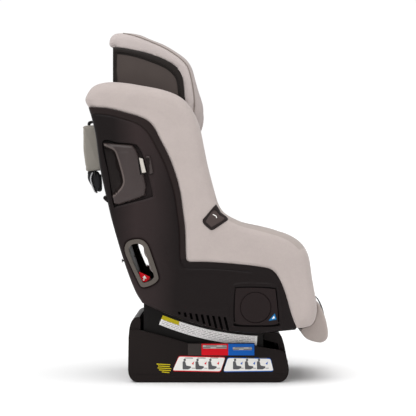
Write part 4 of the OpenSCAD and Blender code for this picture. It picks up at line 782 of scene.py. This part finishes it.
# ------------------------------------------------------------------ CAD pieces that stay
for n_, m_, b_ in (("base_housing", "base", 3.0), ("foot_pads", "rubber", 0.5), ("track_housings", "track", 1.2), ("recline_rack", "steel", 0.3), ("recline_carriage", "track", 1.0),
    ("scale_grey", "greyblock", 0.5), ("scale_red", "red", 0.5), ("scale_blue", "blue", 0.5), ("base_screws", "steel", 0.2), ("back_shell", "shell", 1.5), ("bottom_shell", "shell", 1.2),
    ("back_liner", "inner", 1.0), ("seat_pan", "inner", 1.0), ("front_panel", "inner", 1.0), ("lock_bracket", "steel", 0.6), ("lock_spring", "steel", 0), ("lock_pin", "steel", 0.4),
    ("belt_path_bezels", "bezel", 1.6), ("belt_path_markers", "red", 0.4), ("guide_rods", "steel", 0.3), ("shell_screws", "control", 0.3), ("buckle_body", "control", 2.2), ("buckle_tongues", "steel", 0.7),
    ("buckle_button", "red", 1.2), ("chest_clip", "control", 2.0), ("adjuster_bezel", "control", 1.5), ("adjuster_button", "bezel", 1.0), ("headrest_shell", "head_shell", 1.2), ("headrest_handle", "control", 1.5),
    ("cup_ring_right", "cup", 1.7), ("cup_ring_left", "cup", 1.7), ("cup_floor_right", "cup", 1.9), ("cup_floor_left", "cup", 1.9), ("recline_handle", "bezel", 1.8)):
    cad(n_, m_, b_, 3 if b_ > 1.4 else 2)

# ------------------------------------------------------------------ labels and stickers
def flat(name, outline, y0, y1, m, body, slot_, side=-1, step=6, both=False, edge=0.0):
    ob = slab(name, outline, lambda P: np.full(len(P), y1), lambda P: np.full(len(P), y0), side=side, step=step, grid=14, rings=(), smooth=30)
    uvl = ob.data.uv_layers.new(name="UVMap"); co = A([v.co for v in ob.data.vertices]) * 1000
    o = A(outline); lo, hi = o.min(0), o.max(0)
    for lp in ob.data.loops:
        c = co[lp.vertex_index]; uvl.data[lp.index].uv = ((c[0] - lo[0]) / (hi[0] - lo[0]), (c[2] - lo[1]) / (hi[1] - lo[1]))
    mat(ob, m); ride(ob, body); return ob
def rounded(poly, r=3, n=4):
    poly = A(poly); out = []; m = len(poly)
    for i in range(m):
        a, b, c = poly[i - 1], poly[i], poly[(i + 1) % m]
        u = (a - b) / np.linalg.norm(a - b); v = (c - b) / np.linalg.norm(c - b)
        p, q = b + u * r, b + v * r
        for k in range(n + 1):
            t = k / n; out.append((1 - t) ** 2 * p + 2 * t * (1 - t) * b + t * t * q)
    return A(out)
def disc(x, z, r, n=14): return A([(x + r * math.cos(2 * math.pi * k / n), z + r * math.sin(2 * math.pi * k / n)) for k in range(n)])
M["lab_arc"] = print_label("arc_label_print", (255, 252, 251), (176, 172, 172), 9.9, rows=6, word=0.55, bar=0.42, x0=0.2, x1=9.7, y0=0.08, y1=0.92)
for s_, nm in ((-1, "right"), (1, "left")):
    # curved label on the track body, with a yellow corner
    a0, a1 = 22.4, 2.4; nn_ = 44; V, F, UV = [], [], []
    for k in range(nn_ + 1):
        a = a0 + (a1 - a0) * k / nn_
        for r_, v_ in ((598.5, 1), (620, 0)):
            x, z = onarc(r_, a)
            for y in (148.02, 148.5): V.append((x, s_ * y, z)); UV.append((9.9 * k / nn_, v_))
    for k in range(nn_):
        b = 4 * k; c = b + 4
        F += [(b + 1, c + 1, c + 3, b + 3), (b, b + 2, c + 2, c), (b, c, c + 1, b + 1), (b + 2, b + 3, c + 3, c + 2)]
    F += [(0, 1, 3, 2), (4 * nn_, 4 * nn_ + 2, 4 * nn_ + 3, 4 * nn_ + 1)]
    la = mesh_obj("track_label_" + nm, A(V) / 1000, F, 30);
    bm = bmesh.new(); bm.from_mesh(la.data); bmesh.ops.recalc_face_normals(bm, faces=bm.faces); bm.to_mesh(la.data); bm.free()
    ul = la.data.uv_layers.new(name="UVMap")
    for lp in la.data.loops: ul.data[lp.index].uv = UV[lp.vertex_index]
    mat(la, "lab_arc"); ride(la, "base")
    yc = A([onarc(598.6, 22.4), onarc(598.6, 20.6), onarc(598.6, 18.8), onarc(606.8, 18.6), onarc(607, 20.5), onarc(607.5, 22.4)])
    flat("track_label_corner_" + nm, yc, 148.4, 148.8, "yellow", "base", "track_plastic", side=s_)
    # two bordered labels on the base wall
    L1 = A([[-63.5, 57], [36.3, 54.6], [26, 22], [-77, 24.2]]); L2 = A([[41, 53.8], [133, 52.2], [139.4, 23.5], [31.5, 22.2]])
    for tag, L, colr in (("a", L1, "red"), ("b", L2, "blue")):
        flat("base_label_%s_edge_%s" % (tag, nm), rounded(L, 5), 165.02, 165.35, colr, "base", "scale_" + ("red" if tag == "a" else "blue"), side=s_)
        flat("base_label_%s_%s" % (tag, nm), rounded(grown(L, -1.9), 4), 165.3, 165.6, "white", "base", "scale_grey", side=s_)
        x0, x1 = L[:, 0].min() + 17, L[:, 0].max() - 14
        for k in range(3):
            cx_ = x0 + (x1 - x0) * (k + 0.5) / 3
            fig = rounded([[cx_ - 9, 28], [cx_ + 3, 28], [cx_ + 9, 31], [cx_ + 9, 34.6], [cx_ - 1, 36], [cx_ - 3.6, 46], [cx_ - 9, 45]], 2)
            flat("base_label_%s_fig%d_%s" % (tag, k, nm), fig, 165.55, 165.8, "ink", "base", "scale_grey", side=s_)
            flat("base_label_%s_head%d_%s" % (tag, k, nm), disc(cx_ - 4.5, 48.3 - 0.5 * k * 0, 2.6), 165.55, 165.8, "ink", "base", "scale_grey", side=s_)
    for k, (xa, xb, za, zb) in enumerate(((-12, 39, 72.5, 80), (52, 93, 69.5, 75.5))):
        flat("scale_tick%d_%s" % (k, nm), rounded([[xa, za], [xb, za], [xb, zb], [xa, zb]], 1), 166.55, 166.9, "tick", "base", "scale_grey", side=s_)
    for tag, xa, n_, col_ in (("a", -50, 3, "ink"), ("b", 54, 3, "ink")):
        for k in range(n_):
            xx = xa + k * 27
            flat("base_label_%s_bar%d_%s" % (tag, k, nm), A([[xx, 51.6], [xx + 17, 51.4], [xx + 17, 52.8], [xx, 53]]), 165.55, 165.8, "ink", "base", "scale_grey", side=s_)
            flat("base_label_%s_row%d_%s" % (tag, k, nm), A([[xx + 14, 30], [xx + 21, 30], [xx + 21, 31.2], [xx + 14, 31.2]]), 165.55, 165.8, "ink", "base", "scale_grey", side=s_)
            flat("base_label_%s_dot%d_%s" % (tag, k, nm), A([[xx + 14, 40], [xx + 19, 45], [xx + 18, 38]]), 165.55, 165.8, "red" if tag == "a" else "blue", "base", "scale_grey", side=s_)
    for k, (xa, xb, zz) in enumerate(((-111, -82, 40.4), (-108, -83, 36.2), (-109, -80, 32), (-106, -81, 27.8), (-100, -84, 23.6))):
        flat("base_mark%d_%s" % (k, nm), A([[xa, zz], [xb, zz - 1.6], [xb + 0.4, zz - 3.4], [xa + 0.6, zz - 1.8]]), 165.02, 165.3, "yellow", "base", "scale_grey", side=s_)
    # cup holder sticker and belt arrows
    flat("cup_mark_" + nm, rounded([[126, 136], [143, 139], [139, 152]], 1.5), 225.52, 225.9, "cup_blue", "cup_ring_" + nm, "cup_plastic", side=s_)
    flat("cup_arrow_" + nm, A([[133, 140], [139.5, 141.5], [137.6, 147]]), 225.85, 226.15, "white", "cup_ring_" + nm, "cup_plastic", side=s_)
    flat("belt_flag_" + nm, A([[-147, 239], [-122.6, 227.5], [-131, 217.4], [-138, 217.4], [-143, 226]]), 208.3, 210.5, "red", "seat_shell", "red_marker", side=s_)
    flat("belt_arrow_" + nm, A([[-138.5, 220], [-135, 220], [-134, 224.5], [-130.5, 224], [-134.6, 231], [-139.6, 226], [-137.2, 225.6]]), 210.4, 210.9, "white", "seat_shell", "red_marker", side=s_)

# ------------------------------------------------------------------ stage, light, camera
bm = bmesh.new(); bmesh.ops.create_grid(bm, x_segments=2, y_segments=2, size=40)
me = bpy.data.meshes.new("floor"); bm.to_mesh(me); bm.free(); fl = bpy.data.objects.new("floor", me); scene.collection.objects.link(fl)
t = NT("pale_floor"); n1 = t.noise(3, 2); t.l(t.ramp(n1.outputs["Fac"], [(0.3, (0.95, 0.95, 0.95, 1)), (0.7, (0.97, 0.97, 0.97, 1))]).outputs["Color"], t.b.inputs["Base Color"]); t.b.inputs["Roughness"].default_value = 0.9; t.b.inputs["Specular IOR Level"].default_value = 0.1
fl.data.materials.append(t.m); fl.location.z = -0.0004
w = bpy.data.worlds.new("studio"); scene.world = w; w.use_nodes = True; wt = w.node_tree
bg = wt.nodes["Background"]; tc = wt.nodes.new("ShaderNodeTexCoord"); sp = wt.nodes.new("ShaderNodeSeparateXYZ"); rp = wt.nodes.new("ShaderNodeValToRGB")
wt.links.new(tc.outputs["Generated"], sp.inputs[0]); wt.links.new(sp.outputs[2], rp.inputs[0])
el = rp.color_ramp.elements; el[0].position = 0.0; el[0].color = (1, 1, 1, 1); el[1].position = 1.0; el[1].color = (0.95, 0.95, 0.95, 1)
for p_, v_ in ((0.18, 1.0), (0.34, 0.62), (0.7, 0.62), (0.85, 0.95)):
    e = el.new(p_); e.color = (v_, v_, v_, 1)
wt.links.new(rp.outputs[0], bg.inputs[0]); bg.inputs[1].default_value = 1.02
def sun(name, az, elv, strength, ang):
    d = bpy.data.lights.new(name, "SUN"); d.energy = strength; d.angle = math.radians(ang); o = bpy.data.objects.new(name, d); scene.collection.objects.link(o)
    a, e = math.radians(az), math.radians(elv); dirv = Vector((math.cos(e) * math.cos(a), math.cos(e) * math.sin(a), math.sin(e)))
    o.rotation_euler = dirv.to_track_quat("Z", "Y").to_euler(); return o
sun("top_sun", -100, 72, 1.25, 70)
sun("key_sun", -140, 38, 0.2, 40)
ld = bpy.data.lights.new("top_soft", "AREA"); ld.energy = 6.5; ld.size = 1.1; lo_ = bpy.data.objects.new("top_soft", ld); scene.collection.objects.link(lo_)
lo_.location = (-0.45, -1.35, 1.75); lo_.rotation_euler = (Vector((-0.45, -1.35, 1.75)) - Vector((0, -0.1, 0.6))).to_track_quat("Z", "Y").to_euler()
cam = bpy.data.cameras.new("cam"); co = bpy.data.objects.new("cam", cam); scene.collection.objects.link(co); scene.camera = co
cam.sensor_width = 36; cam.lens = 36 * 3.5 / 0.9335; co.location = (-0.001, -3.5, 0.373); co.rotation_euler = (math.radians(90), 0, 0); cam.clip_end = 200
scene.view_settings.view_transform = "Standard"; scene.view_settings.look = "None"; scene.view_settings.exposure = 0; scene.view_settings.gamma = 1
